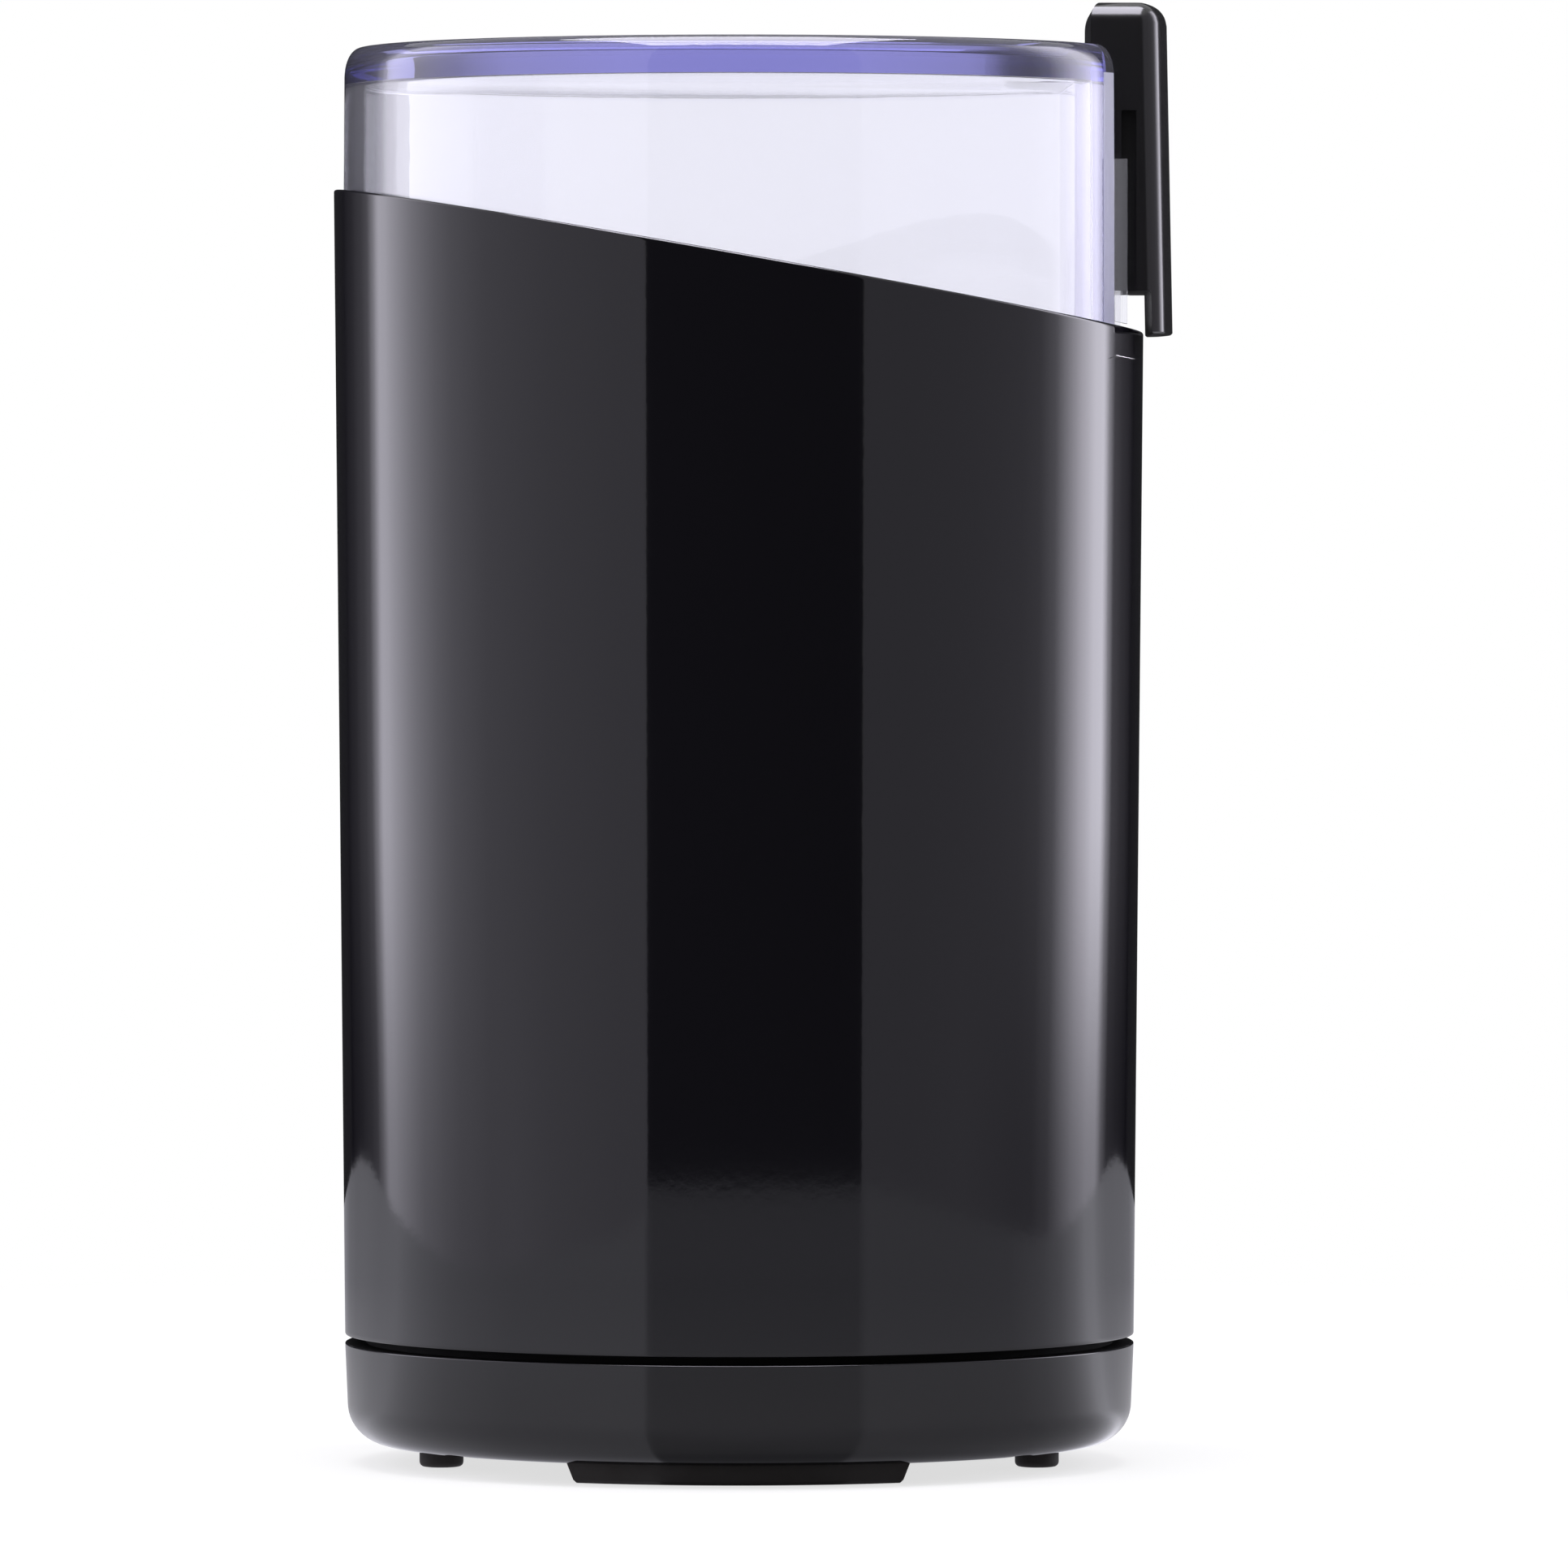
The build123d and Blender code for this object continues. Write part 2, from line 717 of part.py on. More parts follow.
lean_plane = Plane(
    origin=(button_front + button_flare, 0, skirt_bottom),
    x_dir=(math.cos(lean), 0, math.sin(lean)),
    z_dir=(-math.sin(lean), 0, math.cos(lean)),
)
plan_back = button_back - button_front - 2 * button_flare
with BuildPart() as button:
    with BuildSketch(lean_plane) as button_plan:
        with BuildLine():
            Polyline(
                (-button_crown, -button_half_width),
                (plan_back, -button_half_width),
                (plan_back, button_half_width),
                (-button_crown, button_half_width),
            )
            ThreePointArc(
                (-button_crown, button_half_width),
                (0, 0),
                (-button_crown, -button_half_width),
            )
        make_face()
        fillet(button_plan.vertices().sort_by(Axis.X)[-2:], button_corner_radius)
    extrude(amount=button_top - skirt_bottom + overrun)
    extrude(button_plan.sketch, amount=-overrun)
    span_box(
        (button_back, button_front + button_flare + overrun),
        (-button_half_width - overrun, button_half_width + overrun),
        (skirt_bottom, button_top),
        Mode.INTERSECT,
    )
    fillet(button.edges().group_by(Axis.Z)[-1], button_top_radius)
    span_box(
        (button_back - overrun, skirt_back),
        (-button_half_width - overrun, button_half_width + overrun),
        (skirt_bottom - overrun, button_foot),
        Mode.SUBTRACT,
    )
    for side in (-1, 1):
        groove = sorted((side * groove_floor, side * (button_half_width + overrun)))
        span_box((groove_back, groove_front), groove, (skirt_bottom - overrun, groove_top), Mode.SUBTRACT)
        pocket = sorted((side * rib_half_width, side * pocket_half_width))
        span_box(
            (button_back + button_wall, pocket_front),
            pocket,
            (button_foot - overrun, button_top - button_top_radius - button_wall),
            Mode.SUBTRACT,
        )
    post([(rod_x, 0)], rod_top + rod_top_gap, button_foot + button_wall, prong_radius)
button.part.label = "button"
export_step(button.part, "parts/button.step")

# Push rod: a stem in the collar's guide, an arm under the deck and a plunger into the switch
with BuildPart() as push_rod:
    post([(rod_x, 0)], arm_bottom, rod_top, rod_radius)
    span_box(
        (switch_x - arm_width / 2, rod_x + rod_radius),
        (-arm_width / 2, arm_width / 2),
        (arm_bottom, arm_top),
    )
    post([(switch_x, 0)], bridge_top, arm_bottom, plunger_radius)
    post([(switch_x, 0)], bridge_bottom - spigot_pin_length, bridge_top, spigot_pin_radius)
push_rod.part.label = "push_rod"
export_step(push_rod.part, "parts/push_rod.step")

# Contact bridge: a strip of spring brass against the plunger's shoulder
with BuildPart() as contact_bridge:
    with BuildSketch(Plane.XY.offset(bridge_bottom)):
        with Locations((switch_x, 0)):
            RectangleRounded(bridge_width, bridge_length, bridge_width / 4)
            Circle(spigot_pin_radius, mode=Mode.SUBTRACT)
    extrude(amount=bridge_thickness)
contact_bridge.part.label = "contact_bridge"
export_step(contact_bridge.part, "parts/contact_bridge.step")

# Switch body: an open tray with slots in its floor for the terminals
switch_floor_top = switch_bottom + switch_wall
terminal_spans = [
    sorted((side * (terminal_y - terminal_thickness / 2), side * (terminal_y + terminal_thickness / 2)))
    for side in (-1, 1)
]
terminal_x_span = (switch_x - terminal_width / 2, switch_x + terminal_width / 2)
with BuildPart() as switch_body:
    span_box(
        (switch_x - switch_length / 2, switch_x + switch_length / 2),
        (-switch_width / 2, switch_width / 2),
        (switch_bottom, switch_top),
    )
    span_box(
        (switch_x - switch_length / 2 + switch_wall, switch_x + switch_length / 2 - switch_wall),
        (-switch_width / 2 + switch_wall, switch_width / 2 - switch_wall),
        (switch_floor_top, switch_top + overrun),
        Mode.SUBTRACT,
    )
    for span in terminal_spans:
        span_box(terminal_x_span, span, (switch_bottom - overrun, switch_floor_top + overrun), Mode.SUBTRACT)
switch_body.part.label = "switch_body"
export_step(switch_body.part, "parts/switch_body.step")

# Fixed terminals, which the bridge joins when the button is down
for name, span in zip(("switch_terminal_front", "switch_terminal_rear"), terminal_spans):
    with BuildPart() as terminal:
        span_box(terminal_x_span, span, (switch_bottom - terminal_reach, terminal_top))
    terminal.part.label = name
    export_step(terminal.part, f"parts/{name}.step")

# Switch cover: a plate with two ears on the deck's posts and a hole for the plunger
with BuildPart() as switch_cover:
    with BuildSketch(Plane.XY.offset(switch_top)):
        with Locations((switch_x, 0)):
            Rectangle(switch_length, switch_width)
            SlotOverall(2 * (switch_post_y + switch_ear_margin), 2 * switch_ear_margin, rotation=90)
            Circle(plunger_radius + plunger_clearance, mode=Mode.SUBTRACT)
        with Locations(*switch_post_places):
            Circle(switch_screw_radius + hole_clearance, mode=Mode.SUBTRACT)
    extrude(amount=switch_cover_thickness)
switch_cover.part.label = "switch_cover"
export_step(switch_cover.part, "parts/switch_cover.step")

# Screws of the switch cover
with BuildPart() as switch_screws:
    post(switch_post_places, switch_top - switch_screw_head_height, switch_top, switch_screw_head_radius)
    post(switch_post_places, switch_top, switch_cover_top + switch_screw_bite, switch_screw_radius)
switch_screws.part.label = "switch_screws"
export_step(switch_screws.part, "parts/switch_screws.step")

# Return spring from the switch floor up to the contact bridge
return_start = (switch_x, 0, switch_floor_top + return_wire_radius)
return_length = bridge_bottom - switch_floor_top - 2 * return_wire_radius
return_coil, return_gap = coil(
    return_start, (0, 0, 1), return_length, return_coil_radius, return_wire_radius, return_turns
)
with BuildPart() as return_spring:
    add(return_coil)
return_spring.part.label = "return_spring"
export_step(return_spring.part, "parts/return_spring.step")
print(f"return_spring least gap between turns: {return_gap:.2f} mm")

# Motor bracket: a plate on the rubber mounts with a bearing boss and two legs to the stator
bracket_length = 2 * (mount_x + bracket_margin)
bracket_depth = 2 * (bolt_y + bracket_margin)
bearing_boss_radius = bearing_radius + bearing_boss_wall
upper_bearing_top = bracket_bottom + upper_bearing_height
with BuildPart() as motor_bracket:
    with BuildSketch(Plane.XY.offset(bracket_bottom)):
        RectangleRounded(bracket_length, bracket_depth, bracket_corner_radius)
        with Locations(*mount_places):
            Circle(mount_screw_radius + hole_clearance, mode=Mode.SUBTRACT)
    extrude(amount=bracket_thickness)
    post([(0, 0)], bracket_bottom, upper_bearing_top, bearing_boss_radius)
    post(bolt_places, stator_top, bracket_bottom, leg_radius)
    post([(0, 0)], bracket_bottom - overrun, upper_bearing_top + overrun, bearing_radius, Mode.SUBTRACT)
    post(
        bolt_places,
        stator_top - overrun,
        bracket_top + overrun,
        bolt_radius + hole_clearance,
        Mode.SUBTRACT,
    )
motor_bracket.part.label = "motor_bracket"
export_step(motor_bracket.part, "parts/motor_bracket.step")

# Rubber mounts between the deck's bosses and the bracket, and the screws through them
with BuildPart() as motor_mounts:
    post(mount_places, bracket_top, mount_top, mount_radius)
    post(
        mount_places,
        bracket_top - overrun,
        mount_top + overrun,
        mount_screw_radius + hole_clearance,
        Mode.SUBTRACT,
    )
motor_mounts.part.label = "motor_mounts"
export_step(motor_mounts.part, "parts/motor_mounts.step")

with BuildPart() as mount_screws:
    post(mount_places, bracket_bottom - mount_screw_head_height, bracket_bottom, mount_screw_head_radius)
    post(mount_places, bracket_bottom, mount_top + mount_screw_bite, mount_screw_radius)
mount_screws.part.label = "mount_screws"
export_step(mount_screws.part, "parts/mount_screws.step")

# Plain bearings at both ends of the motor
for name, bottom, height in (
    ("upper_bearing", bracket_bottom, upper_bearing_height),
    ("lower_bearing", lower_bracket_bottom, lower_bearing_height),
):
    with BuildPart() as bearing:
        post([(0, 0)], bottom, bottom + height, bearing_radius)
        post([(0, 0)], bottom - overrun, bottom + height + overrun, shaft_radius + shaft_play, Mode.SUBTRACT)
    bearing.part.label = name
    export_step(bearing.part, f"parts/{name}.step")

# Stator: a laminated pack with a round bore and two poles along X
bore_radius = core_radius + air_gap
window_x = (window_inner_x + window_outer_x) / 2
window_y = (window_inner_y + window_outer_y) / 2
with BuildPart() as stator_core:
    with BuildSketch(Plane.XY.offset(stator_bottom)):
        RectangleRounded(stator_length, stator_depth, stator_corner_radius)
        Circle(bore_radius, mode=Mode.SUBTRACT)
        with GridLocations(2 * window_x, 2 * window_y, 2, 2):
            Rectangle(
                window_outer_x - window_inner_x, window_outer_y - window_inner_y, mode=Mode.SUBTRACT
            )
        with Locations(*bolt_places):
            Circle(bolt_radius + hole_clearance, mode=Mode.SUBTRACT)
    extrude(amount=stator_height)
stator_core.part.label = "stator_core"
export_step(stator_core.part, "parts/stator_core.step")

# Field coils, one rectangular loop round each pole
coil_outer_y = window_outer_y - coil_clearance
coil_inner_y = window_inner_y + coil_clearance
coil_outer_x = window_outer_x - coil_clearance
for name, side in (("field_coil_left", -1), ("field_coil_right", 1)):
    coil_x_span = sorted((side * coil_outer_x, side * (coil_outer_x - coil_width)))
    with BuildPart() as field_coil:
        span_box(
            coil_x_span,
            (-coil_outer_y, coil_outer_y),
            (stator_bottom - coil_overhang, stator_top + coil_overhang),
        )
        fillet(field_coil.edges().filter_by(Axis.X), coil_corner_radius)
        span_box(
            coil_x_span,
            (-coil_inner_y, coil_inner_y),
            (stator_bottom - coil_seat, stator_top + coil_seat),
            Mode.SUBTRACT,
        )
    field_coil.part.label = name
    export_step(field_coil.part, f"parts/{name}.step")

# Brush places, measured outwards from the commutator
brush_z = (commutator_bottom + commutator_top) / 2
brush_start = commutator_radius + brush_play
brush_end = brush_start + brush_length
holder_inner_x = commutator_radius + holder_start
spring_end = brush_end + brush_spring_length
holder_outer_x = spring_end + holder_end_wall
tunnel_half_width = brush_width / 2 + brush_clearance
tunnel_half_height = brush_height / 2 + brush_clearance
holder_half_width = tunnel_half_width + holder_wall
holder_half_height = tunnel_half_height + holder_wall
holder_bottom = brush_z - holder_half_height

# Lower bracket: a plate under the stator with a bearing, two legs and a seat for each brush holder
with BuildPart() as lower_bracket:
    with BuildSketch(Plane.XY.offset(lower_bracket_bottom)):
        RectangleRounded(stator_length, 2 * (bolt_y + leg_radius), lower_bracket_corner_radius)
    extrude(amount=lower_bracket_thickness)
    post([(0, 0)], lower_bracket_top, lower_bearing_top, bearing_boss_radius)
    post(bolt_places, lower_bracket_top, stator_bottom, leg_radius)
    for side in (-1, 1):
        seat_span = sorted((side * (holder_inner_x + holder_wall), side * (holder_outer_x - holder_wall)))
        span_box(seat_span, (-holder_half_width, holder_half_width), (lower_bracket_top, holder_bottom))
    post(
        [(0, 0)],
        lower_bracket_bottom - overrun,
        lower_bearing_top + overrun,
        bearing_radius,
        Mode.SUBTRACT,
    )
    post(bolt_places, lower_bracket_bottom - overrun, stator_bottom + overrun, bolt_radius, Mode.SUBTRACT)
lower_bracket.part.label = "lower_bracket"
export_step(lower_bracket.part, "parts/lower_bracket.step")

# Brush holders, brushes and their springs, a set on each side of the commutator
for side_name, side in (("left", -1), ("right", 1)):
    with BuildPart() as brush_holder:
        span_box(
            sorted((side * holder_inner_x, side * holder_outer_x)),
            (-holder_half_width, holder_half_width),
            (brush_z - holder_half_height, brush_z + holder_half_height),
        )
        span_box(
            sorted((side * (holder_inner_x - overrun), side * spring_end)),
            (-tunnel_half_width, tunnel_half_width),
            (brush_z - tunnel_half_height, brush_z + tunnel_half_height),
            Mode.SUBTRACT,
        )
    brush_holder.part.label = f"brush_holder_{side_name}"
    export_step(brush_holder.part, f"parts/brush_holder_{side_name}.step")

    with BuildPart() as brush:
        span_box(
            sorted((0, side * brush_end)),
            (-brush_width / 2, brush_width / 2),
            (brush_z - brush_height / 2, brush_z + brush_height / 2),
        )
        post([(0, 0)], commutator_bottom, commutator_top, brush_start, Mode.SUBTRACT)
    brush.part.label = f"brush_{side_name}"
    export_step(brush.part, f"parts/brush_{side_name}.step")

    brush_coil, brush_gap = coil(
        (side * (brush_end + brush_wire_radius), 0, brush_z),
        (side, 0, 0),
        brush_spring_length - 2 * brush_wire_radius,
        brush_coil_radius,
        brush_wire_radius,
        brush_turns,
    )
    with BuildPart() as brush_spring:
        add(brush_coil)
    brush_spring.part.label = f"brush_spring_{side_name}"
    export_step(brush_spring.part, f"parts/brush_spring_{side_name}.step")
    print(f"brush_spring_{side_name} least gap between turns: {brush_gap:.2f} mm")

# Through bolts that clamp both brackets to the stator
with BuildPart() as through_bolts:
    post(bolt_places, bracket_top, bracket_top + bolt_head_height, bolt_head_radius)
    post(bolt_places, lower_bracket_bottom, bracket_top, bolt_radius)
through_bolts.part.label = "through_bolts"
export_step(through_bolts.part, "parts/through_bolts.step")

# Shaft, from the fan up to the blade nut
with BuildPart() as shaft:
    post([(0, 0)], fan_bottom, shaft_top, shaft_radius)
    chamfer(shaft.edges().group_by(Axis.Z)[-1], shaft_end / 2)
shaft.part.label = "shaft"
export_step(shaft.part, "parts/shaft.step")

# Armature core: a slotted pack on the shaft
slot_middle = (slot_inner_radius + slot_outer_radius) / 2
with BuildPart() as armature_core:
    with BuildSketch(Plane.XY.offset(stator_bottom)):
        Circle(core_radius)
        Circle(shaft_radius, mode=Mode.SUBTRACT)
        with PolarLocations(slot_middle, slot_count):
            Rectangle(slot_outer_radius - slot_inner_radius, slot_width, mode=Mode.SUBTRACT)
        with PolarLocations(core_radius, slot_count):
            Rectangle(2 * (core_radius - slot_middle), slot_mouth, mode=Mode.SUBTRACT)
    extrude(amount=stator_height)
armature_core.part.label = "armature_core"
export_step(armature_core.part, "parts/armature_core.step")

# Armature windings: bars in the slots joined by a ring of end turns above and below
bar_length = slot_outer_radius - slot_inner_radius - 2 * winding_clearance
with BuildPart() as armature_windings:
    for bottom in (stator_bottom - winding_overhang, stator_top):
        with BuildSketch(Plane.XY.offset(bottom)):
            Circle(winding_radius)
            Circle(winding_bore_radius, mode=Mode.SUBTRACT)
        extrude(amount=winding_overhang)
    for end in (0, -1):
        end_edges = armature_windings.edges().group_by(Axis.Z)[end]
        fillet(end_edges.sort_by(SortBy.LENGTH)[-1:], winding_edge_radius)
    with BuildSketch(Plane.XY.offset(stator_bottom)):
        with PolarLocations(slot_middle, slot_count):
            Rectangle(bar_length, slot_width - 2 * winding_clearance)
    extrude(amount=stator_height)
armature_windings.part.label = "armature_windings"
export_step(armature_windings.part, "parts/armature_windings.step")

# Commutator: a drum with a cut between its bars
with BuildPart() as commutator:
    with BuildSketch(Plane.XY.offset(commutator_bottom)):
        Circle(commutator_radius)
        Circle(shaft_radius, mode=Mode.SUBTRACT)
        with PolarLocations(commutator_radius, slot_count):
            Rectangle(2 * commutator_cut_depth, commutator_cut_width, mode=Mode.SUBTRACT)
    extrude(amount=commutator_height)
commutator.part.label = "commutator"
export_step(commutator.part, "parts/commutator.step")

# Fan: a disc with a hub and radial vanes on its lower face
vane_height = fan_height - fan_disc
vane_inner_radius = fan_hub_radius - fan_vane_thickness
vane_outer_radius = fan_radius - fan_vane_thickness
with BuildPart() as fan:
    post([(0, 0)], fan_top - fan_disc, fan_top, fan_radius)
    post([(0, 0)], fan_bottom, fan_top, fan_hub_radius)
    with BuildSketch(Plane.XY.offset(fan_bottom)):
        with PolarLocations((vane_inner_radius + vane_outer_radius) / 2, fan_vane_count):
            Rectangle(vane_outer_radius - vane_inner_radius, fan_vane_thickness)
    extrude(amount=vane_height)
    post([(0, 0)], fan_bottom - overrun, fan_top + overrun, shaft_radius, Mode.SUBTRACT)
fan.part.label = "fan"
export_step(fan.part, "parts/fan.step")

# Blade bushing between the seal and the blade
with BuildPart() as blade_bushing:
    post([(0, 0)], bushing_bottom, blade_bottom, bushing_radius)
    post([(0, 0)], bushing_bottom - overrun, blade_bottom + overrun, shaft_radius, Mode.SUBTRACT)
blade_bushing.part.label = "blade_bushing"
export_step(blade_bushing.part, "parts/blade_bushing.step")

# Blade: a steel strip with rounded ends that bend upwards
half_span = blade_span / 2
half_flat = blade_flat / 2
with BuildPart() as blade:
    with BuildSketch(Plane.XZ):
        with BuildLine():
            Polyline(
                (-half_span, blade_bottom + blade_rise),
                (-half_flat, blade_bottom),
                (half_flat, blade_bottom),
                (half_span, blade_bottom + blade_rise),
                (half_span, nut_bottom + blade_rise),
                (half_flat, nut_bottom),
                (-half_flat, nut_bottom),
                (-half_span, nut_bottom + blade_rise),
                close=True,
            )
        make_face()
    extrude(amount=blade_width / 2, both=True)
    with BuildSketch(Plane.XY.offset(blade_bottom - overrun)):
        SlotOverall(blade_span, blade_width)
    extrude(amount=blade_thickness + blade_rise + 2 * overrun, mode=Mode.INTERSECT)
    post([(0, 0)], blade_bottom - overrun, nut_bottom + overrun, shaft_radius, Mode.SUBTRACT)
blade.part.label = "blade"
export_step(blade.part, "parts/blade.step")

# Blade nut
with BuildPart() as blade_nut:
    with BuildSketch(Plane.XY.offset(nut_bottom)):
        RegularPolygon(nut_radius, nut_sides)
        Circle(shaft_radius, mode=Mode.SUBTRACT)
    extrude(amount=nut_height)
blade_nut.part.label = "blade_nut"
export_step(blade_nut.part, "parts/blade_nut.step")
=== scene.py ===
import json
import math

import bpy
import numpy as np
from bpy.props import FloatProperty, FloatVectorProperty, PointerProperty
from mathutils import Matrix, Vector


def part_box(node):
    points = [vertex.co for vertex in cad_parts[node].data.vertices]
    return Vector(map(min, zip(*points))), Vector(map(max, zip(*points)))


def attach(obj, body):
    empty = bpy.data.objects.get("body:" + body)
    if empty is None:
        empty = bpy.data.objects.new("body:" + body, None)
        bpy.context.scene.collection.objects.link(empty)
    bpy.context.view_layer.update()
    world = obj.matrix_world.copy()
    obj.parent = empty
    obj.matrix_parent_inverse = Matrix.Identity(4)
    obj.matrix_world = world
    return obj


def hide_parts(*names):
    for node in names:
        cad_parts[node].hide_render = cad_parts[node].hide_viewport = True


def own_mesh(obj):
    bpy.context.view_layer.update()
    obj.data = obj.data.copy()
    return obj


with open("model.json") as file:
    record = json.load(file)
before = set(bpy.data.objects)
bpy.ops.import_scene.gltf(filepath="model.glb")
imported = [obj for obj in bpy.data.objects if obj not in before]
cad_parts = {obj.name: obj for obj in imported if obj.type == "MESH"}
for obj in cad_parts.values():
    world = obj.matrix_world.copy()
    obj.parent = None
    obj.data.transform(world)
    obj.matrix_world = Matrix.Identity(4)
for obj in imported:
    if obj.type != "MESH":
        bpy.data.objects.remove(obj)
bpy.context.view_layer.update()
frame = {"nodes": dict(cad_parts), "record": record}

bl_info = {
    "name": "Coffee Grinder Looks",
    "version": (1, 0, 0),
    "blender": (4, 5, 0),
    "location": "View3D > Sidebar > Grinder",
    "description": "Dresses the packed coffee grinder with fine shells, finishes and a studio",
    "category": "Object",
}

HOUSING_LOW, HOUSING_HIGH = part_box("housing")
BASE_LOW, BASE_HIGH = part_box("base_cover")
LID_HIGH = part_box("lid")[1]
BUTTON_LOW, BUTTON_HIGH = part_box("button")
BOWL_LOW, BOWL_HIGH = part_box("bowl")
BLADE_LOW, BLADE_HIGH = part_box("blade")
NUT_LOW, NUT_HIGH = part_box("blade_nut")
BUSHING_LOW, BUSHING_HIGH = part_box("blade_bushing")
SEAL_LOW, SEAL_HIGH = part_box("shaft_seal")
PAD_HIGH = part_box("front_foot")[1]
STUD_LOW, STUD_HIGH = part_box("foot_studs")
GLAND_LOW, GLAND_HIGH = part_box("cord_gland")
SCREW_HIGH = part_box("base_screws")[1]
SPRING_LOW, SPRING_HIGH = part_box("return_spring")

RIM_SLOPE = math.tan(math.radians(10.0))
RIM_HEIGHT = HOUSING_HIGH[2] + HOUSING_LOW[0] * RIM_SLOPE
FLARE_SHARE = (HOUSING_HIGH[2] - HOUSING_LOW[2]) / (RIM_HEIGHT - HOUSING_LOW[2])
RIM_HALF_LENGTH = BASE_HIGH[0] + (-HOUSING_LOW[0] - BASE_HIGH[0]) / FLARE_SHARE
FLANGE_RISE = 0.0024
AROUND = 288


def length(label, text, value):
    """A length property in metres with its label, description and default."""
    return FloatProperty(name=label, description=text, default=value, unit="LENGTH", precision=5)


def tint(label, text, value):
    """A colour property with its label, description and default."""
    return FloatVectorProperty(
        name=label, description=text, default=value, subtype="COLOR", size=3, min=0.0, max=1.0
    )


class GrinderSizes(bpy.types.PropertyGroup):
    """Sizes of the dressed pieces, most of them read from the frame."""

    rim_height: length("Rim height", "Height of the rim on the motor axis", RIM_HEIGHT)
    rim_half_length: length("Rim half length", "Half the body's length at the rim", RIM_HALF_LENGTH)
    rim_half_depth: length("Rim half depth", "Half the body's depth at the rim", HOUSING_HIGH[1])
    wall: length("Wall", "Thickness of the housing's wall", 0.0024)
    lip_wall: length("Lip", "Thickness of the thin lip at the rim", 0.0007)
    ledge_drop: length("Ledge drop", "Drop from the rim to the ledge inside it", 0.0064)
    edge_radius: length("Edge radius", "Rounding of the moulded edges at the seam", 0.00025)
    base_radius: length("Base radius", "Rounding of the base's lower edge", 0.005)
    base_top: length("Base top", "Height of the base cover's upper edge", HOUSING_LOW[2] - 0.001)
    lid_wall: length("Lid wall", "Thickness of the clear lid's wall", 0.0024)
    lid_plate: length("Lid plate", "Thickness of the clear lid's top", 0.0045)
    lid_radius: length("Lid radius", "Rounding of the clear lid's upper edge", 0.0035)
    button_radius: length("Button radius", "Rounding of the button's top", 0.0025)
    bowl_sheet: length("Bowl sheet", "Thickness of the bowl's pressed sheet", 0.0008)
    bowl_radius: length("Bowl radius", "Rounding of the bowl's lower edge", 0.006)


class GrinderColours(bpy.types.PropertyGroup):
    """Colours of the finishes that show."""

    housing: tint("Housing", "Gloss black of the housing", (0.0082, 0.0077, 0.0102))
    base: tint("Base", "Gloss black of the base cover", (0.0084, 0.0080, 0.0102))
    button: tint("Button", "Gloss black of the button", (0.0185, 0.0180, 0.0190))
    lid: tint("Lid", "Tint of the clear lid", (0.985, 0.985, 0.995))
    lid_depth: tint("Lid depth", "Colour of the clear plastic through its depth", (0.56, 0.55, 0.86))
    rubber: tint("Rubber", "Brown black of the feet", (0.016, 0.013, 0.011))
    steel: tint("Steel", "Colour of the bowl and blade", (0.60, 0.60, 0.59))


def sizes():
    """The sizes of this scene."""
    return bpy.context.scene.grinder_sizes


def colours():
    """The colours of this scene."""
    return bpy.context.scene.grinder_colours


# Surfaces


def combine(*coordinates):
    """Points from their coordinates, which are spread to a common shape."""
    return np.stack(np.broadcast_arrays(*coordinates), axis=-1)


def at_height(outline, height):
    """A flat outline at a height, or at one height for each of its points."""
    return combine(outline[:, 0], outline[:, 1], height)


def grid_faces(rows, columns, wrap_rows=False, wrap_columns=True):
    """Quads of a grid: each joins a point to its neighbours along the row and the column."""
    row = np.arange(rows if wrap_rows else rows - 1)[:, None]
    column = np.arange(columns if wrap_columns else columns - 1)[None, :]
    next_row = (row + 1) % rows
    next_column = (column + 1) % columns
    corners = combine(
        row * columns + column,
        row * columns + next_column,
        next_row * columns + next_column,
        next_row * columns + column,
    )
    return corners.reshape(-1, 4)


def outward(points, faces):
    """A closed surface with its faces turned outwards: its volume, summed over fans, is positive."""
    volume = 0.0
    for group in faces:
        first = points[group[:, 0]]
        for corner in range(1, group.shape[1] - 1):
            cross = np.cross(points[group[:, corner]], points[group[:, corner + 1]])
            volume += float(np.einsum("ij,ij->", first, cross))
    if volume < 0:
        faces = [group[:, ::-1] for group in faces]
    return points, faces


def ring_solid(grid):
    """Closed ring: a grid of a closed profile (rows) carried round a closed path (columns)."""
    rows, columns = grid.shape[:2]
    return outward(grid.reshape(-1, 3), [grid_faces(rows, columns, wrap_rows=True)])


def capped_solid(grid):
    """Closed stack of loops: a grid of loops (rows) with a flat face over the first and the last."""
    rows, columns = grid.shape[:2]
    first = np.arange(columns)[None, ::-1]
    last = (rows - 1) * columns + np.arange(columns)[None, :]
    return outward(grid.reshape(-1, 3), [grid_faces(rows, columns), first, last])


def arc(start_deg, end_deg, count):
    """Cosines and sines of angles spread evenly between two angles in degrees."""
    angle = np.radians(np.linspace(start_deg, end_deg, count))
    return np.cos(angle), np.sin(angle)


def turn(count=AROUND):
    """Angles once round, without the last."""
    return 2 * np.pi * np.arange(count) / count


def columns_of(profile):
    """The columns of a profile, each upright so that it spreads along a ring."""
    profile = np.asarray(profile, dtype=float)
    return np.split(profile, profile.shape[1], axis=1)


def revolve(profile, count, centre=(0.0, 0.0)):
    """A profile of (radius, height) carried round an upright axis: x = r cos t, y = r sin t, z = height."""
    radius, height = columns_of(profile)
    angle = turn(count)
    x = centre[0] + radius * np.cos(angle)
    y = centre[1] + radius * np.sin(angle)
    return combine(x, y, height)


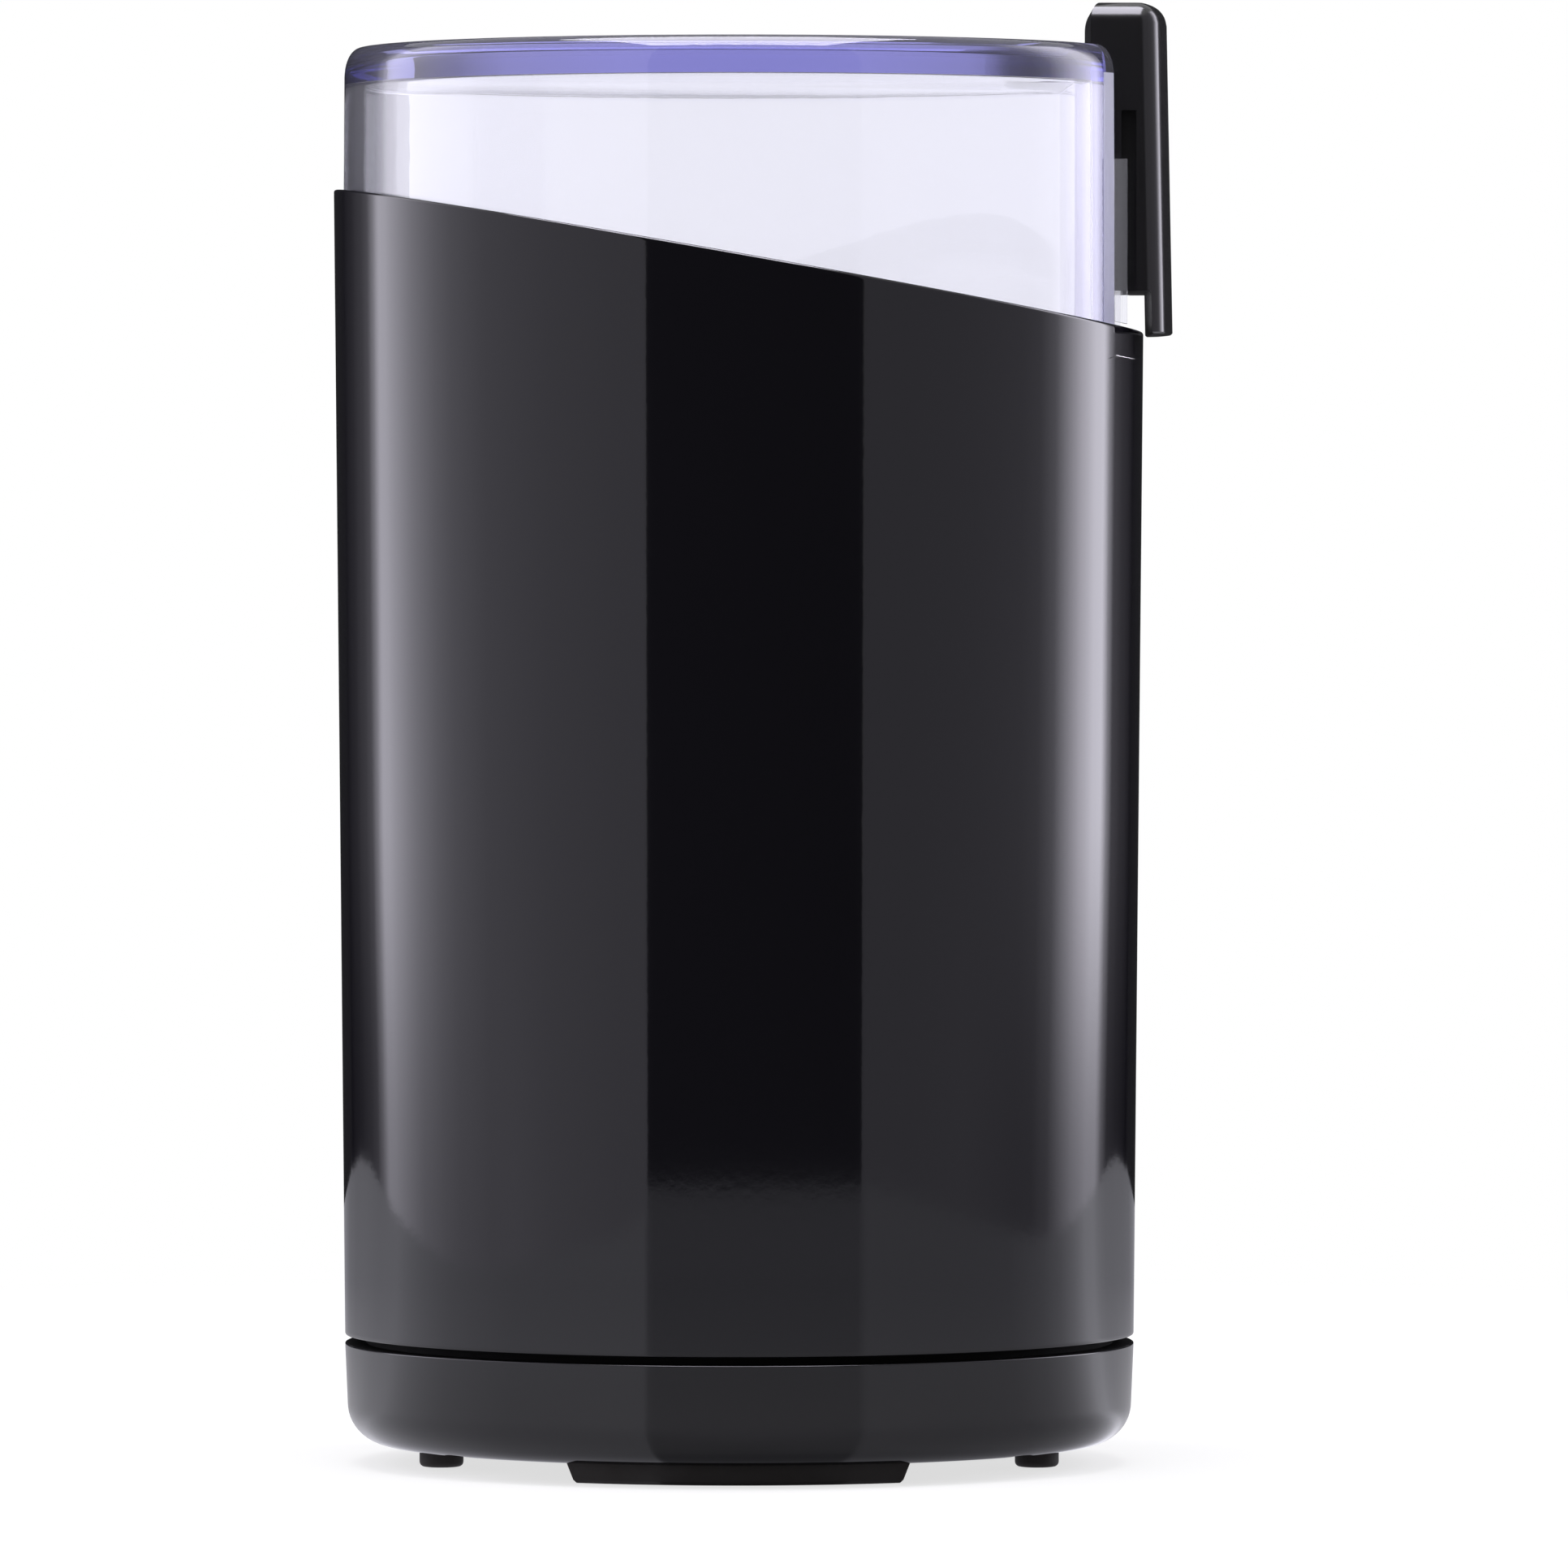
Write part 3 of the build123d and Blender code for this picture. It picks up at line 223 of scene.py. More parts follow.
def four_places(high, radius):
    """The centres of four like parts at the corners of their common box."""
    reach_x, reach_y = high[0] - radius, high[1] - radius
    return [(x, y) for x in (-reach_x, reach_x) for y in (-reach_y, reach_y)]


def rounded_rod(radius, low, high, edge, count=5):
    """Profile of an upright rod with rounded ends, from its lower face to its upper face."""
    cosine, sine = arc(-90, 0, count)
    lower = combine(radius - edge + edge * cosine, low + edge + edge * sine)
    upper = combine(lower[::-1, 0], low + high - lower[::-1, 1])
    return np.concatenate([lower, upper])


def rounded_ring(inner, outer, low, high, edge, count=4):
    """Closed profile of a ring with rounded corners: four quarter arcs round a rectangle."""
    parts = []
    for x, z, start in (
        (outer - edge, low + edge, -90),
        (outer - edge, high - edge, 0),
        (inner + edge, high - edge, 90),
        (inner + edge, low + edge, 180),
    ):
        cosine, sine = arc(start, start + 90, count)
        parts.append(combine(x + edge * cosine, z + edge * sine))
    return np.concatenate(parts)


def body_half(height):
    """Half length and half depth of the body's oval, straight from the seam to the rim."""
    size = sizes()
    share = (height - HOUSING_LOW[2]) / (size.rim_height - HOUSING_LOW[2])
    half_length = BASE_HIGH[0] + share * (size.rim_half_length - BASE_HIGH[0])
    half_depth = BASE_HIGH[1] + share * (size.rim_half_depth - BASE_HIGH[1])
    return half_length, half_depth


def body_rings(profile):
    """Rings of the body's oval. A row of the profile is (inset, level, slanted): x = (a - inset) cos t,
    y = (b - inset) sin t, and z is the level, or the rim's height plus the level less x times the slope."""
    inset, level, slanted = columns_of(profile)
    angle = turn()
    height = level + slanted * sizes().rim_height + 0 * angle
    # The height sets the oval and the oval sets the slanted height, which four passes settle
    for _ in range(4):
        half_length, half_depth = body_half(height)
        x = (half_length - inset) * np.cos(angle)
        height = level + slanted * (sizes().rim_height - x * RIM_SLOPE)
    y = (half_depth - inset) * np.sin(angle)
    return combine(x, y, height)


def oval_rings(profile):
    """Rings of free ovals. A row of the profile is (half length, half depth, level, slanted)."""
    half_length, half_depth, level, slanted = columns_of(profile)
    angle = turn()
    x = half_length * np.cos(angle)
    y = half_depth * np.sin(angle)
    return combine(x, y, level + slanted * (sizes().rim_height - x * RIM_SLOPE))


def rounded_corner(before, corner, after, radius, count=7):
    """A corner of an outline, rounded from one side to the other: (1-u)^2 p + 2u(1-u) c + u^2 q."""
    before, corner, after = (np.asarray(point, dtype=float) for point in (before, corner, after))
    start = corner + (before - corner) * radius / np.linalg.norm(before - corner)
    end = corner + (after - corner) * radius / np.linalg.norm(after - corner)
    u = np.linspace(0.0, 1.0, count)[:, None]
    return (1 - u) ** 2 * start + 2 * u * (1 - u) * corner + u ** 2 * end


def notched_oval(half_length, half_depth, floor_x, half_width, tip_radius, root_radius):
    """Outline of an oval with a notch in its +X end: x = a cos t, y = b sin t, then the notch's sides."""
    tip_t = math.asin(half_width / half_depth)
    tip = (half_length * math.cos(tip_t), -half_width)
    root = (floor_x, -half_width)
    pace = math.hypot(half_length * math.sin(tip_t), half_depth * math.cos(tip_t))
    first_t = tip_t + 1.02 * tip_radius / pace
    angle = np.linspace(first_t, 2 * math.pi - first_t, 360)
    oval = combine(half_length * np.cos(angle), half_depth * np.sin(angle))
    low_tip = rounded_corner(oval[-1], tip, root, tip_radius)
    low_root = rounded_corner(tip, root, (floor_x, half_width), root_radius)
    high_root = low_root[::-1] * (1, -1)
    high_tip = low_tip[::-1] * (1, -1)
    return np.concatenate([oval, low_tip, low_root, high_root, high_tip])


def inward(outline):
    """Vectors across an anticlockwise outline, towards its inside: the sum of the normals of the two sides
    that meet at a point, over one plus their product, so that a corner stays a corner."""
    side = np.roll(outline, -1, axis=0) - outline
    side /= np.linalg.norm(side, axis=1, keepdims=True)
    normal = combine(-side[:, 1], side[:, 0])
    before = np.roll(normal, 1, axis=0)
    return (normal + before) / (1 + np.sum(normal * before, axis=1, keepdims=True))


# Meshes


def joined(parts):
    """Points and faces of several surfaces, in one list each."""
    starts = np.cumsum([0] + [len(part[0]) for part in parts])
    faces = []
    for start, part in zip(starts, parts):
        for group in part[1]:
            faces += (group + start).tolist()
    return np.concatenate([part[0] for part in parts]).tolist(), faces


def new_object(name, points, faces):
    """A mesh object of points and faces, linked to the scene."""
    mesh = bpy.data.meshes.new(name)
    mesh.from_pydata(points, [], faces)
    item = bpy.data.objects.new(name, mesh)
    bpy.context.collection.objects.link(item)
    return item


def smooth_sides(mesh, sharp_deg):
    """Smooth shading on the grid's quads, flat shading on the caps, and sharp edges above an angle."""
    corners = np.empty(len(mesh.polygons), dtype=np.int32)
    mesh.polygons.foreach_get("loop_total", corners)
    mesh.polygons.foreach_set("use_smooth", corners < 5)
    mesh.set_sharp_from_angle(angle=math.radians(sharp_deg))


def make_piece(name, parts, body, slot, nodes=(), sharp_deg=32.0):
    """A mesh object of the given closed surfaces, which rides on a body and stands for CAD nodes."""
    piece = new_object(name, *joined(parts))
    smooth_sides(piece.data, sharp_deg)
    piece.data.validate()
    piece.data.materials.append(finish(slot))
    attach(piece, body)
    if nodes:
        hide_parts(*nodes)
    return piece


def carve(piece, cuts, sharp_deg=50.0):
    """Takes closed surfaces out of a piece: the difference of the two meshes replaces the piece's own."""
    cutter = new_object("cutter", *joined(cuts))
    difference = piece.modifiers.new("carve", "BOOLEAN")
    difference.operation = "DIFFERENCE"
    difference.solver = "EXACT"
    difference.object = cutter
    carved = piece.evaluated_get(bpy.context.evaluated_depsgraph_get())
    result = bpy.data.meshes.new_from_object(carved)
    piece.modifiers.clear()
    spent = (piece.data, cutter.data)
    piece.data = result
    result.name = piece.name
    smooth_sides(result, sharp_deg)
    bpy.data.objects.remove(cutter)
    for mesh in spent:
        bpy.data.meshes.remove(mesh)


def face_centres(mesh):
    """The middle points of a mesh's faces."""
    middle = np.empty(3 * len(mesh.polygons))
    mesh.polygons.foreach_get("center", middle)
    return middle.reshape(-1, 3)


def second_finish(piece, material, chosen):
    """A second material on the chosen faces of a piece."""
    piece.data.materials.append(material)
    piece.data.polygons.foreach_set("material_index", chosen.astype(np.int32))


# Finishes


def feed(tree, node, inputs):
    """Sets a node's inputs, by label or number, to a value or to the socket that feeds them."""
    for label, value in inputs.items():
        if isinstance(value, bpy.types.NodeSocket):
            tree.links.new(value, node.inputs[label])
        else:
            node.inputs[label].default_value = value


def add_node(tree, kind, inputs=None, **settings):
    """A shader node with its settings and inputs."""
    node = tree.nodes.new("ShaderNode" + kind)
    for name, value in settings.items():
        setattr(node, name, value)
    feed(tree, node, inputs or {})
    return node


def node_group(name, inputs, outputs):
    """A shader node group with named sockets: its tree, its given values and its output node."""
    tree = bpy.data.node_groups.new(name, "ShaderNodeTree")
    for label, kind, default in inputs:
        socket = tree.interface.new_socket(name=label, in_out="INPUT", socket_type="NodeSocket" + kind)
        socket.default_value = default
    for label in outputs:
        tree.interface.new_socket(name=label, in_out="OUTPUT", socket_type="NodeSocketFloat")
    return tree, tree.nodes.new("NodeGroupInput").outputs, tree.nodes.new("NodeGroupOutput")


def noise(tree, vector, scale, detail, roughness=0.5):
    """A noise texture on a vector; the scale is a number or a socket."""
    inputs = {"Vector": vector, "Scale": scale, "Detail": detail, "Roughness": roughness}
    return add_node(tree, "TexNoise", inputs).outputs["Fac"]


def remap(tree, value, low, high, to_low, to_high):
    """A value mapped from one range to another and held inside it."""
    inputs = {"Value": value, "From Min": low, "From Max": high, "To Min": to_low, "To Max": to_high}
    return add_node(tree, "MapRange", inputs).outputs["Result"]


def arithmetic(tree, operation, first, second):
    """A sum, product or other operation on two values."""
    return add_node(tree, "Math", {0: first, 1: second}, operation=operation).outputs[0]


def shade_between(tree, factor, dark, light):
    """A colour between two shades by a factor; the light one is a colour or a socket."""
    if not isinstance(light, bpy.types.NodeSocket):
        light = (*light, 1.0)
    inputs = {"Factor": factor, "A": (*dark, 1.0), "B": light}
    return add_node(tree, "Mix", inputs, data_type="RGBA").outputs["Result"]


def bump(tree, height, distance):
    """A bump normal from a height in metres."""
    inputs = {"Strength": 1.0, "Distance": distance, "Height": height}
    return add_node(tree, "Bump", inputs).outputs["Normal"]


def object_coordinates(tree, stretch=(1.0, 1.0, 1.0)):
    """Object coordinates, stretched by a Mapping node."""
    place = add_node(tree, "TexCoord").outputs["Object"]
    return add_node(tree, "Mapping", {"Vector": place, "Scale": stretch}).outputs["Vector"]


def moulded_grain():
    """Moulded grain: a coarse noise (Mottle), a fine noise (Height) and thin rare rubs (Rub)."""
    if "Moulded Grain" in bpy.data.node_groups:
        return bpy.data.node_groups["Moulded Grain"]
    scales = [("Grain Scale", "Float", 1800.0), ("Mottle Scale", "Float", 40.0), ("Rub Scale", "Float", 90.0)]
    tree, given, result = node_group("Moulded Grain", scales, ["Height", "Mottle", "Rub"])
    place = object_coordinates(tree)
    streak = noise(tree, object_coordinates(tree, (1.0, 1.0, 14.0)), given["Rub Scale"], 5.0, 0.65)
    feed(tree, result, {
        "Height": noise(tree, place, given["Grain Scale"], 2.0),
        "Mottle": noise(tree, place, given["Mottle Scale"], 4.0, 0.6),
        "Rub": remap(tree, streak, 0.60, 0.78, 0.0, 1.0),
    })
    return tree


def brushed_lines():
    """Brushed lines: noise stretched along one direction, coarse (Streak) and fine (Height)."""
    if "Brushed Lines" in bpy.data.node_groups:
        return bpy.data.node_groups["Brushed Lines"]
    inputs = [("Line Scale", "Float", 900.0), ("Stretch", "Vector", (0.02, 0.02, 1.0))]
    tree, given, result = node_group("Brushed Lines", inputs, ["Height", "Streak"])
    place = add_node(tree, "TexCoord").outputs["Object"]
    product = add_node(tree, "VectorMath", {0: place, 1: given["Stretch"]}, operation="MULTIPLY")
    vector = product.outputs["Vector"]
    coarse = arithmetic(tree, "MULTIPLY", given["Line Scale"], 0.25)
    feed(tree, result, {
        "Height": noise(tree, vector, given["Line Scale"], 3.0, 0.6),
        "Streak": noise(tree, vector, coarse, 4.0, 0.6),
    })
    return tree


def bare_tree(owner):
    """The emptied node tree of a material or world."""
    owner.use_nodes = True
    owner.node_tree.nodes.clear()
    return owner.node_tree


def textured(name, group, values):
    """A material of a Principled BSDF and its output, with a texture group beside them."""
    material = bpy.data.materials.new(name)
    tree = bare_tree(material)
    surface = add_node(tree, "BsdfPrincipled")
    add_node(tree, "OutputMaterial", {"Surface": surface.outputs["BSDF"]})
    texture = add_node(tree, "Group", values, node_tree=group)
    return material, tree, surface, texture.outputs


def scaled(colour, factor):
    """A colour times a factor, held under one."""
    return tuple(min(1.0, channel * factor) for channel in colour)


def moulded(
    name, colour, smooth, rough, depth,
    grain=1800.0, mottle=40.0, spread=0.12, metallic=0.0, rubbed=0.08, gloss=0.5,
):
    """A moulded or cast surface: its shade, roughness and bump come from the moulded grain."""
    scales = {"Grain Scale": grain, "Mottle Scale": mottle}
    material, tree, surface, texture = textured(name, moulded_grain(), scales)
    dark, light = scaled(colour, 1 - spread), scaled(colour, 1 + spread)
    even = remap(tree, texture["Mottle"], 0.3, 0.7, smooth, rough)
    worn = arithmetic(tree, "MULTIPLY", texture["Rub"], rubbed)
    feed(tree, surface, {
        "Base Color": shade_between(tree, texture["Mottle"], dark, light),
        "Roughness": arithmetic(tree, "ADD", even, worn),
        "Normal": bump(tree, texture["Height"], depth),
        "Metallic": metallic,
        "Specular IOR Level": gloss,
    })
    return material


def brushed(name, colour, smooth, rough, depth, lines=900.0, stretch=(0.02, 0.02, 1.0)):
    """Brushed metal: its shade, roughness and bump come from the brushed lines."""
    values = {"Line Scale": lines, "Stretch": stretch}
    material, tree, surface, texture = textured(name, brushed_lines(), values)
    dark, light = scaled(colour, 0.86), scaled(colour, 1.08)
    feed(tree, surface, {
        "Base Color": shade_between(tree, texture["Streak"], dark, light),
        "Roughness": remap(tree, texture["Streak"], 0.3, 0.7, smooth, rough),
        "Normal": bump(tree, texture["Height"], depth),
        "Metallic": 1.0,
    })
    return material


def clear_plastic(name, clearness=0.97, smooth=0.012, rough=0.05):
    """Clear plastic: high transmission, a faint colour through its depth, and light through its shadow."""
    colour = colours()
    scales = {"Grain Scale": 260.0, "Mottle Scale": 60.0}
    material, tree, surface, texture = textured(name, moulded_grain(), scales)
    feed(tree, surface, {
        "Transmission Weight": clearness,
        "IOR": 1.49,
        "Base Color": (*colour.lid, 1.0),
        "Roughness": remap(tree, texture["Rub"], 0.0, 1.0, smooth, rough),
        "Normal": bump(tree, texture["Height"], 0.000004),
    })
    depth = add_node(tree, "VolumeAbsorption", {"Color": (*colour.lid_depth, 1.0), "Density": 38.0})
    passing = add_node(tree, "BsdfTransparent", {"Color": (0.9, 0.9, 0.93, 1.0)})
    either = add_node(tree, "MixShader", {
        "Fac": add_node(tree, "LightPath").outputs["Is Shadow Ray"],
        1: surface.outputs["BSDF"],
        2: passing.outputs["BSDF"],
    })
    output = tree.nodes["Material Output"]
    feed(tree, output, {"Surface": either.outputs["Shader"], "Volume": depth.outputs["Volume"]})
    return material


# Each slot's maker, colour or its property, least and most roughness, bump in metres, and what differs
# from the maker's defaults
FINISHES = {
    "housing_black": (moulded, "housing", 0.042, 0.052, 0.0000015, 900.0, 25.0, 0.06, 0.0, 0.02),
    "base_black": (moulded, "base", 0.055, 0.070, 0.000002, 900.0, 25.0, 0.06, 0.0, 0.03),
    "button_black": (moulded, "button", 0.15, 0.20, 0.000003, 1500.0, 60.0, 0.08, 0.0, 0.06),
    "collar_black": (moulded, (0.008, 0.008, 0.009), 0.30, 0.42, 0.00001),
    "bowl_steel": (brushed, "steel", 0.20, 0.32, 0.000006),
    "blade_steel": (brushed, "steel", 0.16, 0.28, 0.000008, 1400.0, (1.0, 0.05, 0.05)),
    "plain_steel": (brushed, (0.56, 0.56, 0.55), 0.24, 0.36, 0.000006, 1100.0, (0.1, 0.1, 1.0)),
    "screw_steel": (moulded, (0.50, 0.50, 0.48), 0.28, 0.40, 0.000006, 2400.0, 200.0, 0.1, 1.0),
    "foot_rubber": (moulded, "rubber", 0.62, 0.80, 0.00003, 1600.0, 120.0, 0.25),
    "gland_rubber": (moulded, (0.010, 0.010, 0.010), 0.50, 0.66, 0.00002, 1800.0, 120.0, 0.2),
    "seal_rubber": (moulded, (0.014, 0.014, 0.015), 0.52, 0.68, 0.00002, 2200.0, 150.0, 0.2),
    "white_nylon": (moulded, (0.72, 0.71, 0.67), 0.36, 0.48, 0.00001),
    "contact_brass": (brushed, (0.72, 0.52, 0.22), 0.22, 0.34, 0.000006, 1400.0, (0.05, 1.0, 1.0)),
    "switch_plastic": (moulded, (0.035, 0.035, 0.037), 0.40, 0.52, 0.00001),
    "spring_steel": (moulded, (0.55, 0.55, 0.54), 0.20, 0.30, 0.000004, 3000.0, 300.0, 0.1, 1.0),
    "cast_aluminium": (moulded, (0.62, 0.63, 0.64), 0.42, 0.58, 0.00004, 1300.0, 160.0, 0.14, 1.0),
    "bearing_bronze": (moulded, (0.55, 0.36, 0.17), 0.36, 0.48, 0.00001, 2600.0, 260.0, 0.18, 1.0),
    "core_steel": (brushed, (0.34, 0.34, 0.35), 0.40, 0.54, 0.00003, 2000.0),
    "copper_wire": (brushed, (0.66, 0.27, 0.12), 0.22, 0.34, 0.00012, 1500.0, (0.04, 0.04, 1.0)),
    "commutator_copper": (brushed, (0.72, 0.36, 0.20), 0.24, 0.40, 0.00001, 1500.0),
    "fan_plastic": (moulded, (0.05, 0.05, 0.05), 0.42, 0.56, 0.00002),
    "holder_plastic": (moulded, (0.10, 0.045, 0.025), 0.44, 0.58, 0.00002),
    "brush_carbon": (moulded, (0.020, 0.020, 0.021), 0.55, 0.70, 0.00002, 2600.0, 220.0, 0.3),
}


def finish(slot):
    """The finish of a record slot, made once."""
    known = bpy.data.materials.get(slot)
    if known and known.get("dressed"):
        return known
    if known:
        known.name = slot + ".plain"
    if slot == "clear_plastic":
        material = clear_plastic(slot)
    else:
        maker, colour, *values = FINISHES[slot]
        material = maker(slot, getattr(colours(), colour) if isinstance(colour, str) else colour, *values)
    material["dressed"] = True
    return material


# Pieces


class GRINDER_OT_housing(bpy.types.Operator):
    """Housing: the oval wall with its thin rounded lip, its ledge and the deck inside it."""

    bl_idname = "grinder.housing"
    bl_label = "Housing"

    def execute(self, context):
        size = sizes()
        bottom, edge, half_lip = HOUSING_LOW[2], size.edge_radius, size.lip_wall / 2
        cosine, sine = arc(-90, 0, 6)
        lower = combine(edge - edge * cosine, bottom + edge + edge * sine, 0.0)
        levels = np.concatenate([[0.0006, 0.0012], np.linspace(0.003, 0.112, 24)])
        rise = combine(0.0, bottom + levels, 0.0)
        below_lip = [(0.0, -0.0015, 1.0), (0.0, -half_lip - 0.0002, 1.0)]
        cosine, sine = arc(180, 0, 13)
        lip = combine(half_lip + half_lip * cosine, -half_lip + half_lip * sine, 1.0)
        ledge = [
            (size.lip_wall, -size.ledge_drop, 1),
            (size.wall, -size.ledge_drop, 1),
            (size.wall, bottom + edge, 0),
            (size.wall - edge, bottom, 0),
        ]
        wall = ring_solid(body_rings(np.concatenate([lower, rise, below_lip, lip, ledge])))
        bore, deck_gap, deck_plate = 0.012, 0.006, 0.003
        deck_low = BOWL_LOW[2] - deck_gap
        deck_high = deck_low + deck_plate
        half_length, half_depth = (value - size.wall for value in body_half(deck_low))
        deck = ring_solid(oval_rings([
            (bore, bore, deck_low, 0),
            (half_length, half_depth, deck_low, 0),
            (half_length, half_depth, deck_high, 0),
            (bore, bore, deck_high, 0),
        ]))
        make_piece("housing_shell", [wall, deck], "housing", "housing_black", ["housing"], 50.0)
        return {"FINISHED"}


class GRINDER_OT_base(bpy.types.Operator):
    """Base cover: a tray with a rounded lower edge, a spigot in the seam, vents and screw recesses below."""

    bl_idname = "grinder.base"
    bl_label = "Base cover"

    def execute(self, context):
        size = sizes()
        low, top = BASE_LOW[2], size.base_top
        radius, edge = size.base_radius, size.edge_radius / 2
        draft, fit, plate, spigot_wall, overshoot = 0.0003, 0.0002, 0.0024, 0.0016, 0.001
        spigot, floor = size.wall + fit, low + plate
        cosine, sine = arc(-90, 0, 14)
        skirt = combine(draft + radius - radius * cosine, low + radius + radius * sine)
        climb = np.array([0.02, 0.25, 0.5, 0.75, 0.97, 0.99])
        side = combine(draft * (1 - climb), low + radius + climb * (top - edge - low - radius))
        cosine, sine = arc(0, 90, 6)
        brim = combine(edge - edge * cosine, top - edge + edge * sine)
        inside = [
            (spigot, top),
            (spigot, BASE_HIGH[2]),
            (spigot + spigot_wall, BASE_HIGH[2]),
            (spigot + spigot_wall, floor + 0.004),
            (spigot + 0.0020, floor + 0.001),
            (draft + radius, floor),
        ]
        profile = np.concatenate([skirt, side, brim, inside])
        inset, height = columns_of(profile)
        angle = turn()
        x = (BASE_HIGH[0] - inset) * np.cos(angle)
        y = (BASE_HIGH[1] - inset) * np.sin(angle)
        tray = capped_solid(combine(x, y, height))
        piece = make_piece("base_shell", [tray], "housing", "base_black", ["base_cover"], 50.0)
        vents = [self.vent(row) for row in range(-2, 3)]
        through = (low - overshoot, floor + overshoot)
        cuts = [np.stack([at_height(vent, z) for z in through]) for vent in vents]
        screw_head, recess, shank, recess_top = 0.0033, 0.0036, 0.0018, low + 0.004
        places = four_places(SCREW_HIGH, screw_head)
        hole = [(recess, low - overshoot), (recess, recess_top)]
        cuts += [revolve(hole, 48, place) for place in places]
        carve(piece, [capped_solid(cut) for cut in cuts])
        # Painted shade: the spigot and the faces inside the seam get a darker and rougher black. The darker
        # colour stands for the shade deep in the narrow seam, and the roughness keeps them from mirroring the
        # scene.
        seam_painted_shade = moulded("base_seam_painted_shade", (0.003, 0.003, 0.0032), 0.62, 0.78, 0.00001, gloss=0.12)
        middle = face_centres(piece.data)
        across = np.hypot(middle[:, 0] / BASE_HIGH[0], middle[:, 1] / BASE_HIGH[1])
        seam_share, post_wall, post_cap = 0.985, 0.0006, 0.0012
        second_finish(piece, seam_painted_shade, (across < seam_share) & (middle[:, 2] > top - edge / 2))
        post, post_top = recess + post_wall, recess_top + post_cap
        cup = [
            (recess, floor),
            (post, floor),
            (post, post_top),
            (shank, post_top),
            (shank, recess_top),
            (recess, recess_top),
        ]
        posts = [ring_solid(revolve(cup, 48, place)) for place in places]
        make_piece("base_posts", posts, "housing", "base_black", (), 50.0)
        return {"FINISHED"}

    def vent(self, row):
        """Outline of a vent: two half rounds joined by straight sides, along X."""
        pitch, half_length, radius = 0.0064, 0.015, 0.0013
        cosine, sine = arc(-90, 90, 13)
        right = combine(half_length - radius + radius * cosine, row * pitch + radius * sine)
        left = right[::-1] * (-1, 1)
        return np.concatenate([right, left])


class GRINDER_OT_feet(bpy.types.Operator):
    """Feet: two arcs of rubber under the front and rear edges, and four small studs."""

    bl_idname = "grinder.feet"
    bl_label = "Feet"

    def execute(self, context):
        set_in, pad_depth, edge, narrower = 0.0053, 0.006, 0.0004, 0.0008
        outer_x, outer_y = BASE_HIGH[0] - set_in, BASE_HIGH[1] - set_in
        inner_x, inner_y = outer_x - pad_depth, outer_y - pad_depth
        rows = [(0.0, narrower + edge, edge), (edge, narrower, 0.0), (PAD_HIGH[2], 0.0, 0.0)]
        for name, side in (("front_foot", -1.0), ("rear_foot", 1.0)):
            loops = []
            for height, shorter, inset in rows:
                x = np.linspace(-1.0, 1.0, 49) * (PAD_HIGH[0] - shorter)
                far = (outer_y - inset) * np.sqrt(1 - (x / (outer_x - inset)) ** 2)
                near = (inner_y + inset) * np.sqrt(1 - (x / (inner_x + inset)) ** 2)
                y = side * np.concatenate([far, near[::-1]])
                loops.append(combine(np.concatenate([x, x[::-1]]), y, height))
            make_piece(name + "_pad", [capped_solid(np.array(loops))], "housing", "foot_rubber", [name])
        radius, stud_edge = 0.0027, 0.0006
        profile = rounded_rod(radius, STUD_LOW[2], STUD_HIGH[2], stud_edge)
        studs = [capped_solid(revolve(profile, 40, place)) for place in four_places(STUD_HIGH, radius)]
        make_piece("stud_feet", studs, "housing", "foot_rubber", ["foot_studs"], 40.0)
        return {"FINISHED"}


class GRINDER_OT_gland(bpy.types.Operator):
    """Gland: a rubber bush through the rear wall with a rounded collar and a bore."""

    bl_idname = "grinder.gland"
    bl_label = "Gland"

    def execute(self, context):
        flange, flange_plate, overlap, bore = 0.0018, 0.0016, 0.0003, 0.00325
        radius = (GLAND_HIGH[0] - GLAND_LOW[0]) / 2 - flange
        near, far = GLAND_LOW[1], GLAND_HIGH[1]
        centre = (GLAND_LOW[2] + GLAND_HIGH[2]) / 2
        tube = rounded_ring(bore, radius, near, far, 0.0007)
        brim = rounded_ring(radius - overlap, radius + flange, near, near + flange_plate, 0.0003)
        parts = []
        for profile in (tube, brim):
            upright = revolve(profile, 64)
            parts.append(ring_solid(combine(upright[..., 0], upright[..., 2], centre - upright[..., 1])))
        make_piece("gland_bush", parts, "housing", "gland_rubber", ["cord_gland"], 50.0)
        return {"FINISHED"}


